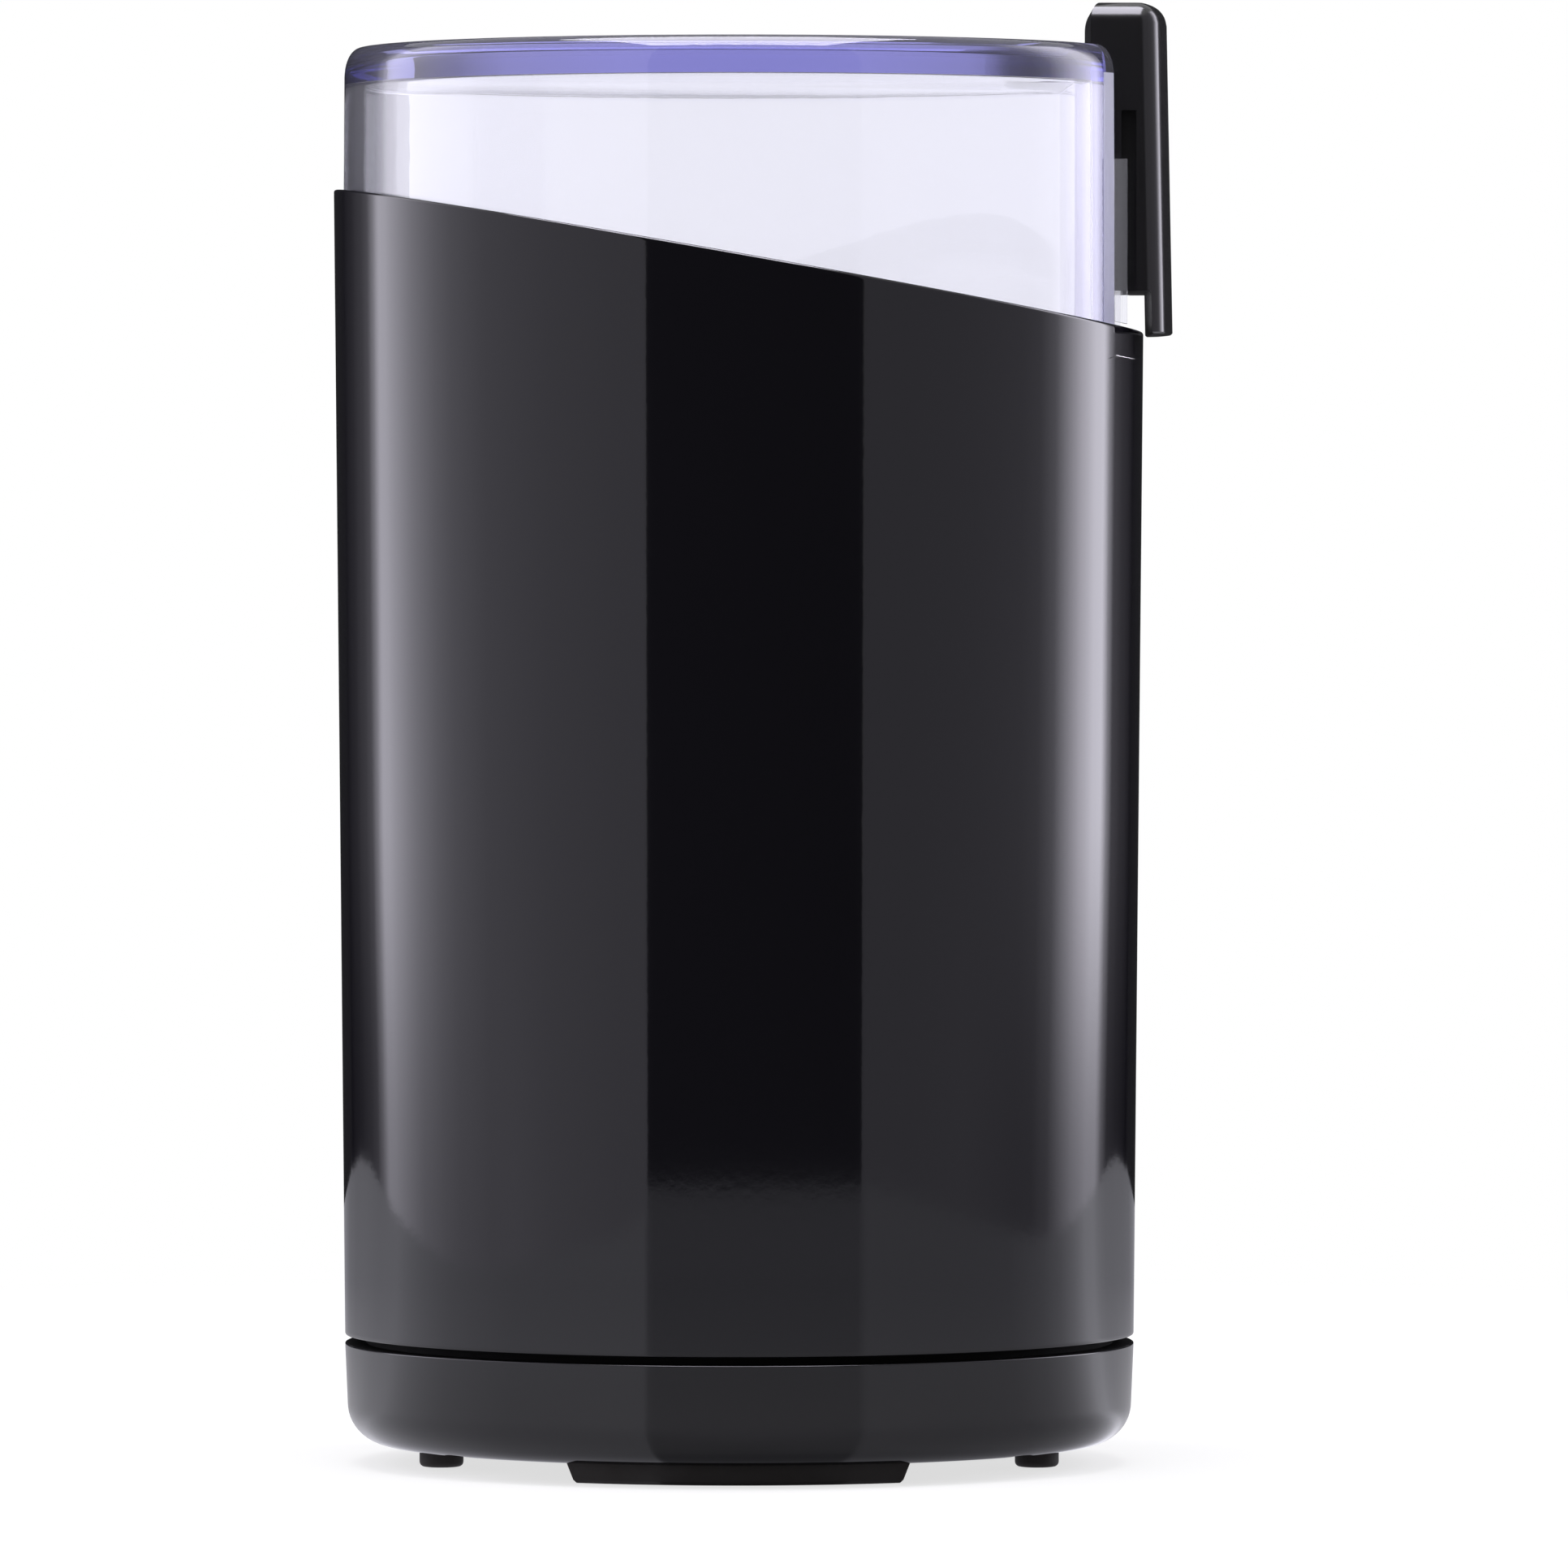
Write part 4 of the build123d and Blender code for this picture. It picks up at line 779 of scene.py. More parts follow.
class GRINDER_OT_bowl(bpy.types.Operator):
    """Bowl: a pressed steel cup, its corner rounded, with a slanted flange that rests on the collar."""

    bl_idname = "grinder.bowl"
    bl_label = "Bowl"

    def execute(self, context):
        size = sizes()
        sheet, radius = size.bowl_sheet, size.bowl_radius
        flange = (BOWL_HIGH[0], BOWL_HIGH[1])
        flange_width, flange_edge, brim = 0.0024, 0.0002, 0.0008
        draft, bore, low, wall_top = 0.0018, 0.008, BOWL_LOW[2], 0.130
        drop = size.ledge_drop - FLANGE_RISE
        levels = np.linspace(low + radius, wall_top, 8)

        def half(height, inset):
            """Half length and half depth of the cup at a height."""
            share = (height - low) / (size.rim_height - low)
            return tuple(full - flange_width - draft * (1 - share) - inset for full in flange)

        def corner(inset, arc_radius):
            """Rows of the cup's lower corner."""
            cosine, sine = arc(-90, 0, 12)
            level = low + inset + arc_radius + arc_radius * sine
            back = arc_radius - arc_radius * cosine
            return [half(z, inset + b) + (z, 0) for z, b in zip(level, back)]

        outside = [(bore, bore, low, 0)] + corner(0.0, radius)
        outside += [half(z, 0.0) + (z, 0) for z in levels[1:]]
        outside += [
            half(size.rim_height, 0.0) + (-drop - sheet, 1),
            flange + (-drop - sheet, 1),
            flange + (-drop - flange_edge, 1),
            (flange[0] - flange_edge, flange[1] - flange_edge, -drop, 1),
        ]
        inner_length, inner_depth = half(size.rim_height, sheet)
        roll = [
            (inner_length + brim + brim * c, inner_depth + brim + brim * c, -drop - brim + brim * s, 1)
            for c, s in zip(*arc(90, 180, 8))
        ]
        inside = [half(z, sheet) + (z, 0) for z in levels[:0:-1]]
        inside += corner(sheet, radius - sheet)[::-1] + [(bore, bore, low + sheet, 0)]
        cup = ring_solid(oval_rings(outside + roll + inside))
        make_piece("bowl_cup", [cup], "housing", "bowl_steel", ["bowl"], 45.0)
        return {"FINISHED"}


class GRINDER_OT_blade(bpy.types.Operator):
    """Blade, its bushing and nut, and the rubber seal in the bowl's floor."""

    bl_idname = "grinder.blade"
    bl_label = "Blade"

    def execute(self, context):
        self.strip()
        shaft, clear_shaft, bushing_half = 0.0030, 0.0031, (BUSHING_HIGH[0] - BUSHING_LOW[0]) / 2
        bushing = rounded_ring(shaft, bushing_half, BUSHING_LOW[2], BUSHING_HIGH[2], 0.0004)
        spacer = ring_solid(revolve(bushing, 72))
        make_piece("blade_spacer", [spacer], "rotor", "plain_steel", ["blade_bushing"], 50.0)
        self.nut(shaft)
        low, high, outer = SEAL_LOW[2], SEAL_HIGH[2], SEAL_HIGH[0]
        neck_radius, disc, neck_end = 0.008, 0.0015, 0.0012
        collar = rounded_ring(clear_shaft, outer, high - disc, high, 0.0005)
        under = rounded_ring(clear_shaft, outer, low, low + disc, 0.0003)
        neck = rounded_ring(clear_shaft, neck_radius, low + neck_end, high - neck_end, 0.0001)
        seal = [ring_solid(revolve(part, 80)) for part in (collar, under, neck)]
        make_piece("seal_grommet", seal, "housing", "seal_rubber", ["shaft_seal"], 50.0)
        return {"FINISHED"}

    def strip(self):
        """The blade: a section with thin edges carried along X, its ends raised and narrowed."""
        half_span, half_width, low = BLADE_HIGH[0], BLADE_HIGH[1], BLADE_LOW[2]
        thickness, flat = 0.0016, 0.019
        rise = BLADE_HIGH[2] - low - thickness
        along = np.linspace(-1.0, 1.0, 121) * half_span
        bend = np.clip((np.abs(along) - flat) / (half_span - flat), 0.0, 1.0)
        lift = rise * bend ** 1.15
        tip_length = half_width * 0.9
        tip = np.clip((np.abs(along) - half_span + tip_length) / tip_length, 0.0, 1.0)
        width = half_width * np.sqrt(np.maximum(1 - 0.72 * tip ** 2, 0.05))
        section_y = np.array([-1.0, -0.72, 0.72, 1.0, 1.0, 0.72, -0.72, -1.0])
        section_z = np.array([0.12, 0.0, 0.0, 0.12, 0.3, 1.0, 1.0, 0.3])
        y = width[:, None] * section_y
        z = low + lift[:, None] + thickness * section_z
        strip = capped_solid(combine(along[:, None], y, z))
        make_piece("blade_strip", [strip], "rotor", "blade_steel", ["blade"], 30.0)

    def nut(self, shaft):
        """The nut: a hexagon whose radius is held under a limit at each height, which bevels its corners."""
        low, high, corner, mouth = NUT_LOW[2], NUT_HIGH[2], NUT_HIGH[0], 0.0033
        flat = corner * math.cos(math.pi / 6)
        angle = turn(144)
        hexagon = flat / np.cos((angle + math.pi / 6) % (math.pi / 3) - math.pi / 6)
        rows = []
        for height, limit in (
            (low, flat),
            (low + 0.0005, corner),
            (high - 0.0006, corner),
            (high, flat * 0.98),
            (high, mouth),
            (high - 0.0004, shaft),
            (low + 0.0004, shaft),
            (low, mouth),
        ):
            radius = np.minimum(hexagon, limit)
            rows.append(combine(radius * np.cos(angle), radius * np.sin(angle), height))
        nut = ring_solid(np.array(rows))
        make_piece("blade_hex_nut", [nut], "rotor", "plain_steel", ["blade_nut"], 20.0)


class GRINDER_OT_lid(bpy.types.Operator):
    """Lid: a clear cap with a notch at its right end and two cheeks that guide the button."""

    bl_idname = "grinder.lid"
    bl_label = "Lid"

    def execute(self, context):
        size = sizes()
        lip_gap, draft, edge, inner_radius, wall_start = 0.0004, 0.00015, 0.0003, 0.0005, 0.1605
        half_length = size.rim_half_length - size.lip_wall - lip_gap
        half_depth = size.rim_half_depth - size.lip_wall - lip_gap
        top, rim, wall, radius = LID_HIGH[2], size.rim_height, size.lid_wall, size.lid_radius
        ceiling = top - size.lid_plate
        notch_depth, notch_half, flange_gap = 0.0062, 0.0137, 0.0002
        notch_floor = half_length - notch_depth
        drop = size.ledge_drop - FLANGE_RISE - flange_gap

        def outside(height, inset):
            """Outer outline at a height, drawn in by an inset round the oval."""
            back = draft * (height - rim) / (top - rim) + inset
            oval = (half_length - back, half_depth - back)
            return notched_oval(*oval, notch_floor, notch_half, 0.0007, 0.0008)

        def inside(height, inset):
            """Inner outline at a height, drawn in by an inset all round."""
            back = draft * (height - rim) / (top - rim) + wall
            oval = (half_length - back, half_depth - back)
            outline = notched_oval(*oval, notch_floor - wall, notch_half + wall, 0.0014, 0.0014)
            return outline + inset * inward(outline)

        def slant(outline, level):
            """An outline at a level under the slanted rim."""
            return at_height(outline, rim - level - outline[:, 0] * RIM_SLOPE)

        def wall_rows(outline, foot, end, bend, draw, straight, count):
            """Rows of a wall: its slanted foot, its straight part, and the bend into its flat end."""
            rows = [slant(outline(rim, foot), drop), slant(outline(rim, 0.0), drop - edge)]
            rows += [at_height(outline(z, 0.0), z) for z in np.linspace(wall_start, end - bend, straight)]
            cosine, sine = arc(0, 90, count)
            for c, s in zip(cosine[1:], sine[1:]):
                rows.append(at_height(outline(end, bend * (1 - c) * draw), end - bend + bend * s))
            return np.array(rows)

        outer = wall_rows(outside, edge, top, radius, 0.55, 8, 12)
        inner = wall_rows(inside, -edge, ceiling, inner_radius, 0.6, 6, 8)
        columns = outer.shape[1]
        points = np.concatenate([outer.reshape(-1, 3), inner.reshape(-1, 3)])
        split = outer.shape[0] * columns
        around = np.arange(columns)
        after = (around + 1) % columns
        faces = [
            grid_faces(outer.shape[0], columns),
            grid_faces(inner.shape[0], columns)[:, ::-1] + split,
            combine(around, around + split, after + split, after),
            (split - columns + around)[None, :],
            (len(points) - columns + around)[None, ::-1],
        ]
        parts = [outward(points, faces)]
        cheek_reach, cheek_length, cheek_gap, cheek_top = 0.0013, 0.0016, 0.0004, 0.160
        hook, tongue, thick = 0.001, 0.0006, 0.0015
        end = half_length * math.sqrt(1 - (notch_half / half_depth) ** 2) + cheek_reach
        root = end - cheek_length
        plan = np.array([
            (root, notch_half),
            (end - tongue, notch_half),
            (end - tongue, notch_half - hook),
            (end, notch_half - hook),
            (end, notch_half + thick),
            (root, notch_half + thick),
        ])
        for cheek in (plan[::-1] * (1, -1), plan):
            low = at_height(cheek, rim + cheek_gap - cheek[:, 0] * RIM_SLOPE)
            parts.append(capped_solid(np.array([low, at_height(cheek, cheek_top)])))
        piece = make_piece("lid_cap", parts, "lid", "clear_plastic", ["lid"], 40.0)
        cap_faces = sum(len(group) for group in faces)
        middle = face_centres(piece.data)
        slack = 0.0001
        in_notch = (middle[:, 0] > notch_floor - slack) & (np.abs(middle[:, 1]) < notch_half + slack)
        in_notch &= (middle[:, 2] < top - radius) & (np.arange(len(middle)) < cap_faces)
        second_finish(piece, clear_plastic("clear_plastic_frosted", 0.2, 0.40, 0.55), in_notch)
        return {"FINISHED"}


class GRINDER_OT_button(bpy.types.Operator):
    """Button: a tall cap with a crowned front, a rounded top, grooves in its sides and a skirt."""

    bl_idname = "grinder.button"
    bl_label = "Button"

    def execute(self, context):
        size = sizes()
        back, half_width, top = BUTTON_LOW[0], BUTTON_HIGH[1], BUTTON_HIGH[2]
        radius = size.button_radius
        flare, crown, corner, edge = 0.0008, 0.0012, 0.0028, 0.0002
        front = BUTTON_HIGH[0] - flare
        skirt = size.rim_height - size.rim_half_length * RIM_SLOPE - 0.0003
        skirt_back, foot = 0.05007, 0.1440
        groove_start, groove_end, groove_depth, groove_top = 0.04663, 0.04844, 0.0013, 0.166
        step = 0.00001
        stops = np.array([
            back, back + 0.0006, groove_start, groove_start + step, groove_end, groove_end + step
        ])
        cut = np.array([0.0, 0.0, 0.0, 1.0, 1.0, 0.0])
        sweep = math.radians(77.8)
        around = np.linspace(0.0, sweep, 12)

        def front_half(height):
            """Half outline of the front: a round knee, then x = nose - crown (y / y0)^2."""
            nose = front + flare * (top - height) / (top - skirt)
            start = nose - crown - corner * math.sin(sweep)
            knee = combine(start + corner * np.sin(around), half_width - corner * (1 - np.cos(around)))
            y = np.linspace(knee[-1, 1], 0.0, 12)[1:]
            arch = combine(nose - crown * (y / knee[-1, 1]) ** 2, y)
            return np.concatenate([knee, arch])

        def loop(half, inset, level, rear):
            """Both halves of an outline, drawn in by an inset, and by half of it at the rear, at a level."""
            whole = np.concatenate([half * (1, -1), half[-2::-1]])
            whole = whole + inset * inward(whole)
            at_rear = whole[:, 0] <= rear + inset + 0.000001
            whole[:, 0] = np.where(at_rear, rear + inset / 2, whole[:, 0])
            return at_height(whole, level)

        def cap_loop(height, inset, grooved, level):
            """Loop of the cap: straight sides with their grooves, and the front."""
            side = combine(stops, half_width - grooved * groove_depth * cut)
            return loop(np.concatenate([side, front_half(height)]), inset, level, back)

        def skirt_loop(height, inset):
            """Loop of the skirt: only what stands in front of the wall."""
            half = front_half(height)
            return loop(half[half[:, 0] > skirt_back], inset, height, skirt_back)

        rows = [cap_loop(z, 0.0, 1.0, z) for z in np.linspace(foot, groove_top, 7)]
        rows += [cap_loop(z, 0.0, 0.0, z) for z in np.linspace(groove_top, top - radius, 4)]
        cosine, sine = arc(0, 90, 12)
        for c, s in zip(cosine[1:], sine[1:]):
            rows.append(cap_loop(top, radius * (1 - c), 0.0, top - radius + radius * s))
        body = capped_solid(np.array(rows))
        hem = [skirt_loop(skirt, edge), skirt_loop(skirt + edge, 0.0), skirt_loop(foot, 0.0)]
        shortest = min(len(row) for row in hem)
        hem = [row[(len(row) - shortest) // 2 : (len(row) + shortest) // 2] for row in hem]
        rod_x, prong_radius = 0.0444, 0.0012
        prong = rounded_rod(prong_radius, BUTTON_LOW[2], foot + 0.001, 0.0003)
        parts = [body, capped_solid(np.array(hem)), capped_solid(revolve(prong, 32, (rod_x, 0.0)))]
        make_piece("button_cap", parts, "button", "button_black", ["button"], 35.0)
        return {"FINISHED"}


class GRINDER_OT_works(bpy.types.Operator):
    """Works: a finish for every CAD node. The collar, the switch and the motor keep their CAD shapes."""

    bl_idname = "grinder.works"
    bl_label = "Inner works"

    def execute(self, context):
        for entry in frame["record"]["subparts"]:
            node = frame["nodes"][entry["node"]]
            node.data.materials.clear()
            node.data.materials.append(finish(entry["material_slot"]))
        return {"FINISHED"}


class GRINDER_OT_spring(bpy.types.Operator):
    """Return spring: a round wire carried up a helix."""

    bl_idname = "grinder.spring"
    bl_label = "Return spring"

    def execute(self, context):
        wire, turns, travel = 0.00035, 8, 0.004
        middle = (SPRING_LOW[0] + SPRING_HIGH[0]) / 2
        coil = (SPRING_HIGH[0] - SPRING_LOW[0]) / 2 - wire
        tall = SPRING_HIGH[2] - SPRING_LOW[2]
        climb = tall - 2 * wire
        share = np.linspace(0.0, 1.0, turns * 36 + 1)[:, None]
        angle = 2 * np.pi * turns * share
        round_wire = turn(14)[None, :]
        slope = math.atan2(climb / turns, 2 * math.pi * coil)
        up = wire * np.sin(round_wire)
        radius = coil + wire * np.cos(round_wire)
        x = middle + radius * np.cos(angle) + up * math.sin(slope) * np.sin(angle)
        y = radius * np.sin(angle) - up * math.sin(slope) * np.cos(angle)
        z = SPRING_LOW[2] + wire + climb * share + up * math.cos(slope)
        helix = capped_solid(combine(x, y, z))
        piece = make_piece("rod_spring", [helix], "housing", "spring_steel", ["return_spring"], 60.0)
        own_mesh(piece)
        return {"FINISHED"}


# Stage


def stage_material(name):
    """A bare material for the stage: its tree and its output node."""
    material = bpy.data.materials.new(name)
    tree = bare_tree(material)
    return material, tree, add_node(tree, "OutputMaterial")


def ray_kinds(tree):
    """Values that are one for rays that meet the stage straight or through glass, and for glossy rays."""
    path = add_node(tree, "LightPath").outputs
    straight = arithmetic(tree, "MAXIMUM", path["Is Camera Ray"], path["Is Transmission Ray"])
    return straight, path["Is Glossy Ray"]


def stored_glow(tree):
    """The brightness that a stage mesh stores at its points."""
    return add_node(tree, "Attribute", attribute_name="glow").outputs["Fac"]


def stage_mesh(name, grid, faces, glow, material, hidden=()):
    """A stage object of a grid with a stored glow, hidden from the named kinds of rays."""
    item = new_object(name, grid.reshape(-1, 3).tolist(), faces)
    layer = item.data.attributes.new("glow", "FLOAT", "POINT")
    spread = np.broadcast_to(glow, grid.shape[:2])
    layer.data.foreach_set("value", np.asarray(spread, dtype=np.float32).ravel())
    item.data.materials.append(material)
    for kind in hidden:
        setattr(item, "visible_" + kind, False)


def sheet(name, grid, glow, material, *hidden):
    """A stage object of an open grid."""
    faces = grid_faces(*grid.shape[:2], wrap_columns=False).tolist()
    stage_mesh(name, grid, faces, glow, material, hidden)


def mirror_line(leaving, distance):
    """Where the body's side mirrors a level ray from the front: the oval's point whose normal is at half the
    leaving angle p, then a run s along that angle: x = px + s sin p, y = py - s cos p."""
    half_length, half_depth = 0.0492, 0.0424
    half = leaving / 2
    scale = np.hypot(half_length * np.sin(half), half_depth * np.cos(half))
    x = half_length ** 2 * np.sin(half) / scale + distance * np.sin(leaving)
    y = -(half_depth ** 2) * np.cos(half) / scale - distance * np.cos(leaving)
    return x, y


def screen(name, stops, material, *hidden, side=1.0, fading=0.0, shift=0.0):
    """An upright screen along a mirror line. A stop is (angle, glow, distance); towards the floor the far
    part of the glow fades and ends earlier."""
    at, strength, reach = np.array(stops, dtype=float).T
    degrees = np.linspace(at[0], at[-1], 145)
    levels = np.array([0.0, 0.005, 0.010, 0.016, 0.023, 0.031, 0.040, 0.050, 0.061, 0.073, 0.6])
    x, y = mirror_line(np.radians(side * degrees), np.interp(degrees, at, reach))
    fade_height, fade_from, fade_span, dimming = 0.07, 60, 35, 0.62
    rise = np.clip(levels / fade_height, 0.0, 1.0)[:, None]
    far = np.clip((degrees[None, :] - fade_from) / fade_span, 0.0, 1.0)
    lack = fading * (1 - rise ** 2 * (3 - 2 * rise)) * far
    glow = np.interp(degrees[None, :] + shift * lack, at, strength) * (1 - dimming * lack)
    sheet(name, combine(x, y, levels[:, None]), glow, material, "camera", "transmission", *hidden)


class GRINDER_OT_stage(bpy.types.Operator):
    """Stage: a pale floor, a white background, soft lights, dark cards and the camera."""

    bl_idname = "grinder.stage"
    bl_label = "Stage"

    def execute(self, context):
        self.floor()
        self.world()
        self.lights()
        self.cards()
        self.camera(context)
        context.scene.view_settings.view_transform = "Standard"
        return {"FINISHED"}

    def floor(self):
        """A round pale floor that keeps the shadow near the object and turns plain white further out. Its
        stored glow is what the glossy body mirrors: x = r sin p, y = y0 - r cos p."""
        radius = np.concatenate([[0.0005], np.geomspace(0.02, 1.6, 27)])
        degrees = np.arange(-180.0, 180.0, 1.25)
        angle = np.radians(degrees)
        x = radius[:, None] * np.sin(angle)
        y = -0.0134 - radius[:, None] * np.cos(angle)
        left = [
            (0, 0.47), (22.3, 0.47), (23.5, 0.88), (60, 0.9), (81, 1.04), (107, 1.4), (119, 1.0),
            (139, 0.54), (150, 0.4), (180, 0.35),
        ]
        right = [
            (0, 0.47), (30.5, 0.47), (31.7, 0.68), (75, 0.62), (87, 0.75), (96, 1.0), (103, 1.4), (110, 1.9),
            (115, 1.75), (119, 1.3), (124, 0.98), (130, 0.78), (140, 0.55), (150, 0.4), (180, 0.35),
        ]
        mirrored_left = np.interp(-degrees, *np.array(left, dtype=float).T)
        mirrored_right = np.interp(degrees, *np.array(right, dtype=float).T)
        mirrored = np.where(degrees < 0, mirrored_left, mirrored_right)
        near = np.clip((0.34 - radius) / 0.24, 0.0, 1.0)[:, None]
        close_by = np.interp(radius, [0.1, 0.2], [0.84, 1.0])[:, None]
        glow = np.maximum(mirrored[None, :] * close_by - 0.28 * near, 0.0)
        faces = grid_faces(*x.shape).tolist() + [list(range(x.shape[1]))[::-1]]
        material, tree, output = stage_material("floor_paper")
        place = add_node(tree, "TexCoord").outputs["Object"]
        far = add_node(tree, "VectorMath", {0: place}, operation="LENGTH").outputs["Value"]
        close = remap(tree, far, 0.10, 0.34, 1.0, 0.0)
        fibre = noise(tree, place, 600.0, 4.0)
        pale = shade_between(tree, fibre, (0.30, 0.30, 0.30), (0.33, 0.33, 0.33))
        shade = shade_between(tree, close, (0.0, 0.0, 0.0), pale)
        straight, glossy = ray_kinds(tree)
        own = arithmetic(tree, "MULTIPLY", remap(tree, close, 0.0, 1.0, 1.0, 0.70), straight)
        seen = arithmetic(tree, "MULTIPLY", stored_glow(tree), glossy)
        paper = add_node(tree, "BsdfDiffuse", {"Color": shade})
        lit = add_node(tree, "Emission", {
            "Strength": arithmetic(tree, "ADD", own, seen),
            "Color": shade_between(tree, glossy, (1.0, 1.0, 1.0), (0.91, 0.905, 1.0)),
        })
        both = add_node(tree, "AddShader", {0: paper.outputs["BSDF"], 1: lit.outputs["Emission"]})
        feed(tree, output, {"Surface": both.outputs["Shader"]})
        stage_mesh("floor", combine(x, y, -0.0001), faces, glow, material)

    def world(self):
        """White where the background is seen, and a soft grey dome as light."""
        world = bpy.data.worlds.new("studio")
        bpy.context.scene.world = world
        tree = bare_tree(world)
        seen = arithmetic(tree, "MAXIMUM", *ray_kinds(tree))
        strength = remap(tree, seen, 0.0, 1.0, 0.55, 1.0)
        sky = add_node(tree, "Background", {"Color": (1.0, 1.0, 1.0, 1.0), "Strength": strength})
        add_node(tree, "OutputWorld", {"Surface": sky.outputs["Background"]})

    def lights(self):
        """Two long soft lights, left and right, brightest towards the rear, and two above: a sheet that only
        the glossy surfaces mirror, and a round lamp."""
        material, tree, output = stage_material("soft_light")
        inputs = {"Color": (0.91, 0.885, 1.0, 1.0), "Strength": stored_glow(tree)}
        feed(tree, output, {"Surface": add_node(tree, "Emission", inputs).outputs["Emission"]})
        left = [
            (22.9, 0.76, 0.432), (31, 0.77, 0.383), (49, 0.88, 0.345), (69, 1.1, 0.324), (81, 1.5, 0.338),
            (88, 1.95, 0.350), (98, 2.9, 0.390), (106, 3.9, 0.425), (113, 4.6, 0.465), (117, 4.4, 0.495),
            (121, 1.9, 0.530), (125, 0.6, 0.560), (130, 0.29, 0.595), (139, 0.09, 0.625), (150, 0.01, 0.600),
        ]
        right = [
            (31.1, 0.53, 0.490), (43, 0.52, 0.470), (62, 0.54, 0.425), (80, 0.58, 0.400), (87, 0.68, 0.395),
            (94, 1.3, 0.400), (100, 3.2, 0.415), (107, 5.4, 0.440), (115, 6.8, 0.485), (121, 6.2, 0.525),
            (125.3, 2.0, 0.560), (129.5, 0.4, 0.590), (137, 0.17, 0.620), (144, 0.08, 0.615),
            (150, 0.01, 0.600),
        ]
        screen("soft_left", left, material, side=-1.0, fading=0.75, shift=3.0)
        screen("soft_right", right, material, fading=1.0, shift=2.0)
        grid = combine(np.linspace(-0.25, 0.25, 3), np.linspace(-0.5, 0.1, 3)[:, None], 0.75)
        sheet("soft_sheen", grid, 14.0, material, "camera", "diffuse", "transmission", "shadow")
        lamp = bpy.data.lights.new("top_light", "AREA")
        lamp.shape = "DISK"
        lamp.size = 0.7
        lamp.energy = 5.0
        top = bpy.data.objects.new("top_light", lamp)
        top.location = (-0.05, -0.10, 0.95)
        bpy.context.collection.objects.link(top)

    def cards(self):
        """Dark cards that give no light: one in front, one behind that is pale in its middle for what looks
        through the lid, and one above and one at the left that only show through the lid."""
        material, tree, output = stage_material("dark_card")
        straight, glossy = ray_kinds(tree)
        through = arithmetic(tree, "MULTIPLY", stored_glow(tree), straight)
        faint = arithmetic(tree, "MULTIPLY", glossy, 0.02)
        inputs = {"Color": (0.97, 0.97, 1.0, 1.0), "Strength": arithmetic(tree, "ADD", through, faint)}
        feed(tree, output, {"Surface": add_node(tree, "Emission", inputs).outputs["Emission"]})
        screen("card_front", [(-22.8, 0.5, 0.487), (31.0, 0.5, 0.487)], material, "diffuse", "shadow")
        unlit = ("camera", "diffuse", "shadow")
        upright = np.array([[0.0], [0.6]])
        x = np.linspace(-0.48, 0.48, 97)
        glow = np.interp(np.abs(x), [0.0, 0.08, 0.20, 0.30, 0.48], [1.0, 1.0, 0.8, 0.4, 0.06])
        sheet("card_rear", combine(x, 0.52, upright), glow, material, *unlit)
        x = np.linspace(-0.6, 0.6, 3)
        sheet("card_above", combine(x, x[:, None], 0.61), 0.12, material, *unlit, "glossy")
        x = np.linspace(-0.5, -0.066, 80)
        glow = np.interp(x, [-0.5, -0.10, -0.08, -0.066], [0.04, 0.06, 0.14, 0.6])
        sheet("card_left", combine(x, 0.2, upright), glow, material, *unlit, "glossy")

    def camera(self, context):
        """A long lens level with the upper body, set by the frame's width at the object's middle."""
        distance, frame_width, aside = 1.37, 0.1932, 0.0055
        eye = Vector((aside, -distance, 0.1132))
        aim = Vector((aside, 0.0, 0.08355))
        view = bpy.data.cameras.new("view")
        view.sensor_width = 36.0
        view.lens = view.sensor_width * distance / frame_width
        view.clip_end = 20.0
        camera = bpy.data.objects.new("view", view)
        camera.location = eye
        camera.rotation_euler = (aim - eye).to_track_quat("-Z", "Y").to_euler()
        bpy.context.collection.objects.link(camera)
        context.scene.camera = camera


class GRINDER_PT_panel(bpy.types.Panel):
    """Lists the pieces of the grinder and the stage."""

    bl_idname = "GRINDER_PT_panel"
    bl_label = "Coffee Grinder"
    bl_space_type = "VIEW_3D"
    bl_region_type = "UI"
    bl_category = "Grinder"

    def draw(self, context):
        for operator in OPERATORS:
            self.layout.operator(operator.bl_idname)
        for group in (context.scene.grinder_sizes, context.scene.grinder_colours):
            for name in group.__annotations__:
                self.layout.prop(group, name)


OPERATORS = (
    GRINDER_OT_works,
    GRINDER_OT_housing,
    GRINDER_OT_base,
    GRINDER_OT_feet,
    GRINDER_OT_gland,
    GRINDER_OT_bowl,
    GRINDER_OT_blade,
    GRINDER_OT_lid,
    GRINDER_OT_button,
    GRINDER_OT_spring,
    GRINDER_OT_stage,
)
CLASSES = (GrinderSizes, GrinderColours, *OPERATORS, GRINDER_PT_panel)


def register():
    """Registers the classes and puts the sizes and colours on the scene."""
    for cls in CLASSES:
        bpy.utils.register_class(cls)
    bpy.types.Scene.grinder_sizes = PointerProperty(type=GrinderSizes)
    bpy.types.Scene.grinder_colours = PointerProperty(type=GrinderColours)


def unregister():
    """Takes the sizes, colours and classes away again."""
    del bpy.types.Scene.grinder_colours
    del bpy.types.Scene.grinder_sizes
    for cls in reversed(CLASSES):
        bpy.utils.unregister_class(cls)


def main():
    register()
    bpy.ops.grinder.works()
    bpy.ops.grinder.housing()
    bpy.ops.grinder.base()
    bpy.ops.grinder.feet()
    bpy.ops.grinder.gland()
    bpy.ops.grinder.bowl()
    bpy.ops.grinder.blade()
    bpy.ops.grinder.lid()
    bpy.ops.grinder.button()
    bpy.ops.grinder.spring()
    bpy.ops.grinder.stage()


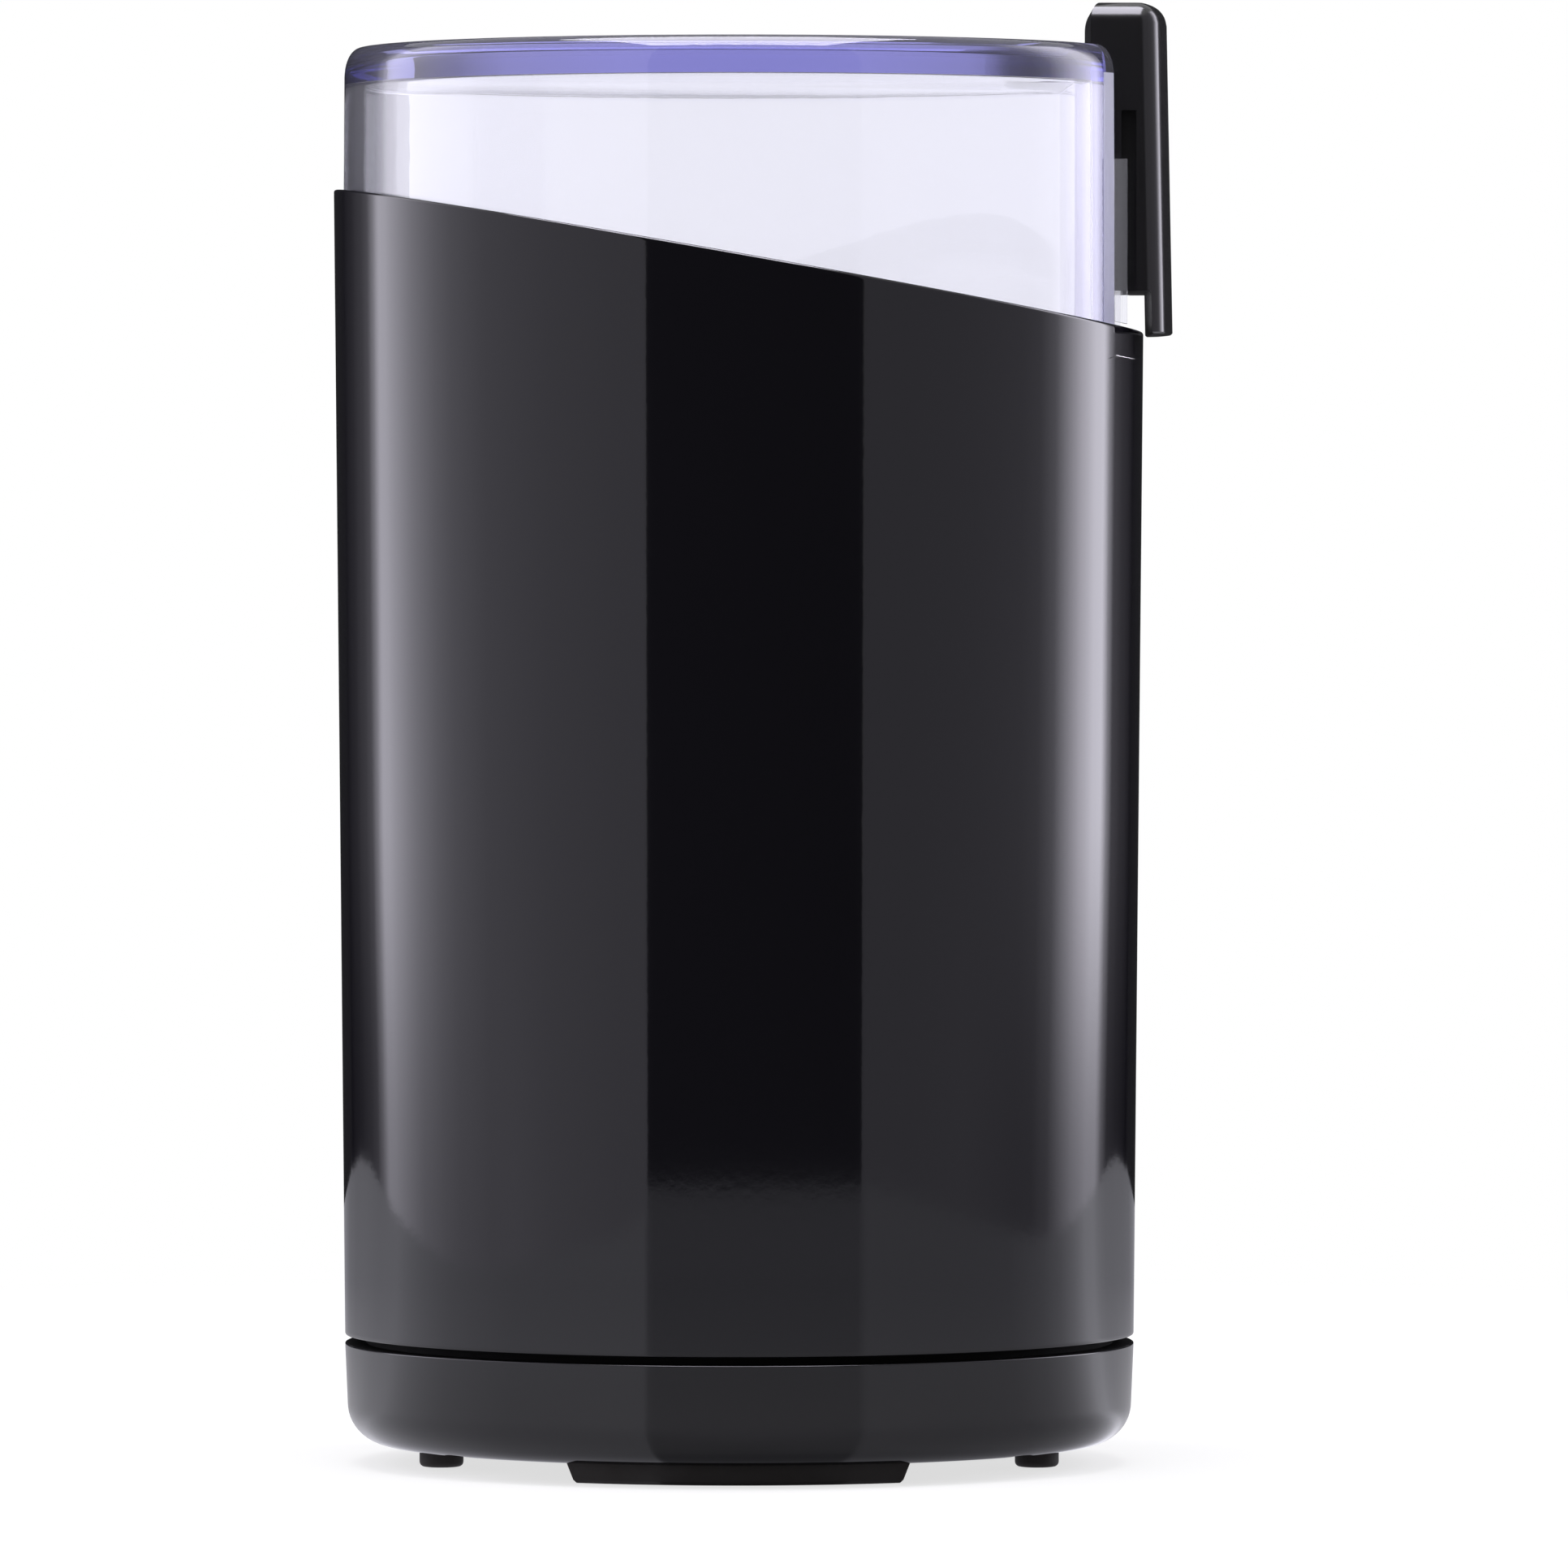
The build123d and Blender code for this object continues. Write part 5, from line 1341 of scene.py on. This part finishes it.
if __name__ == "__main__":
    main()
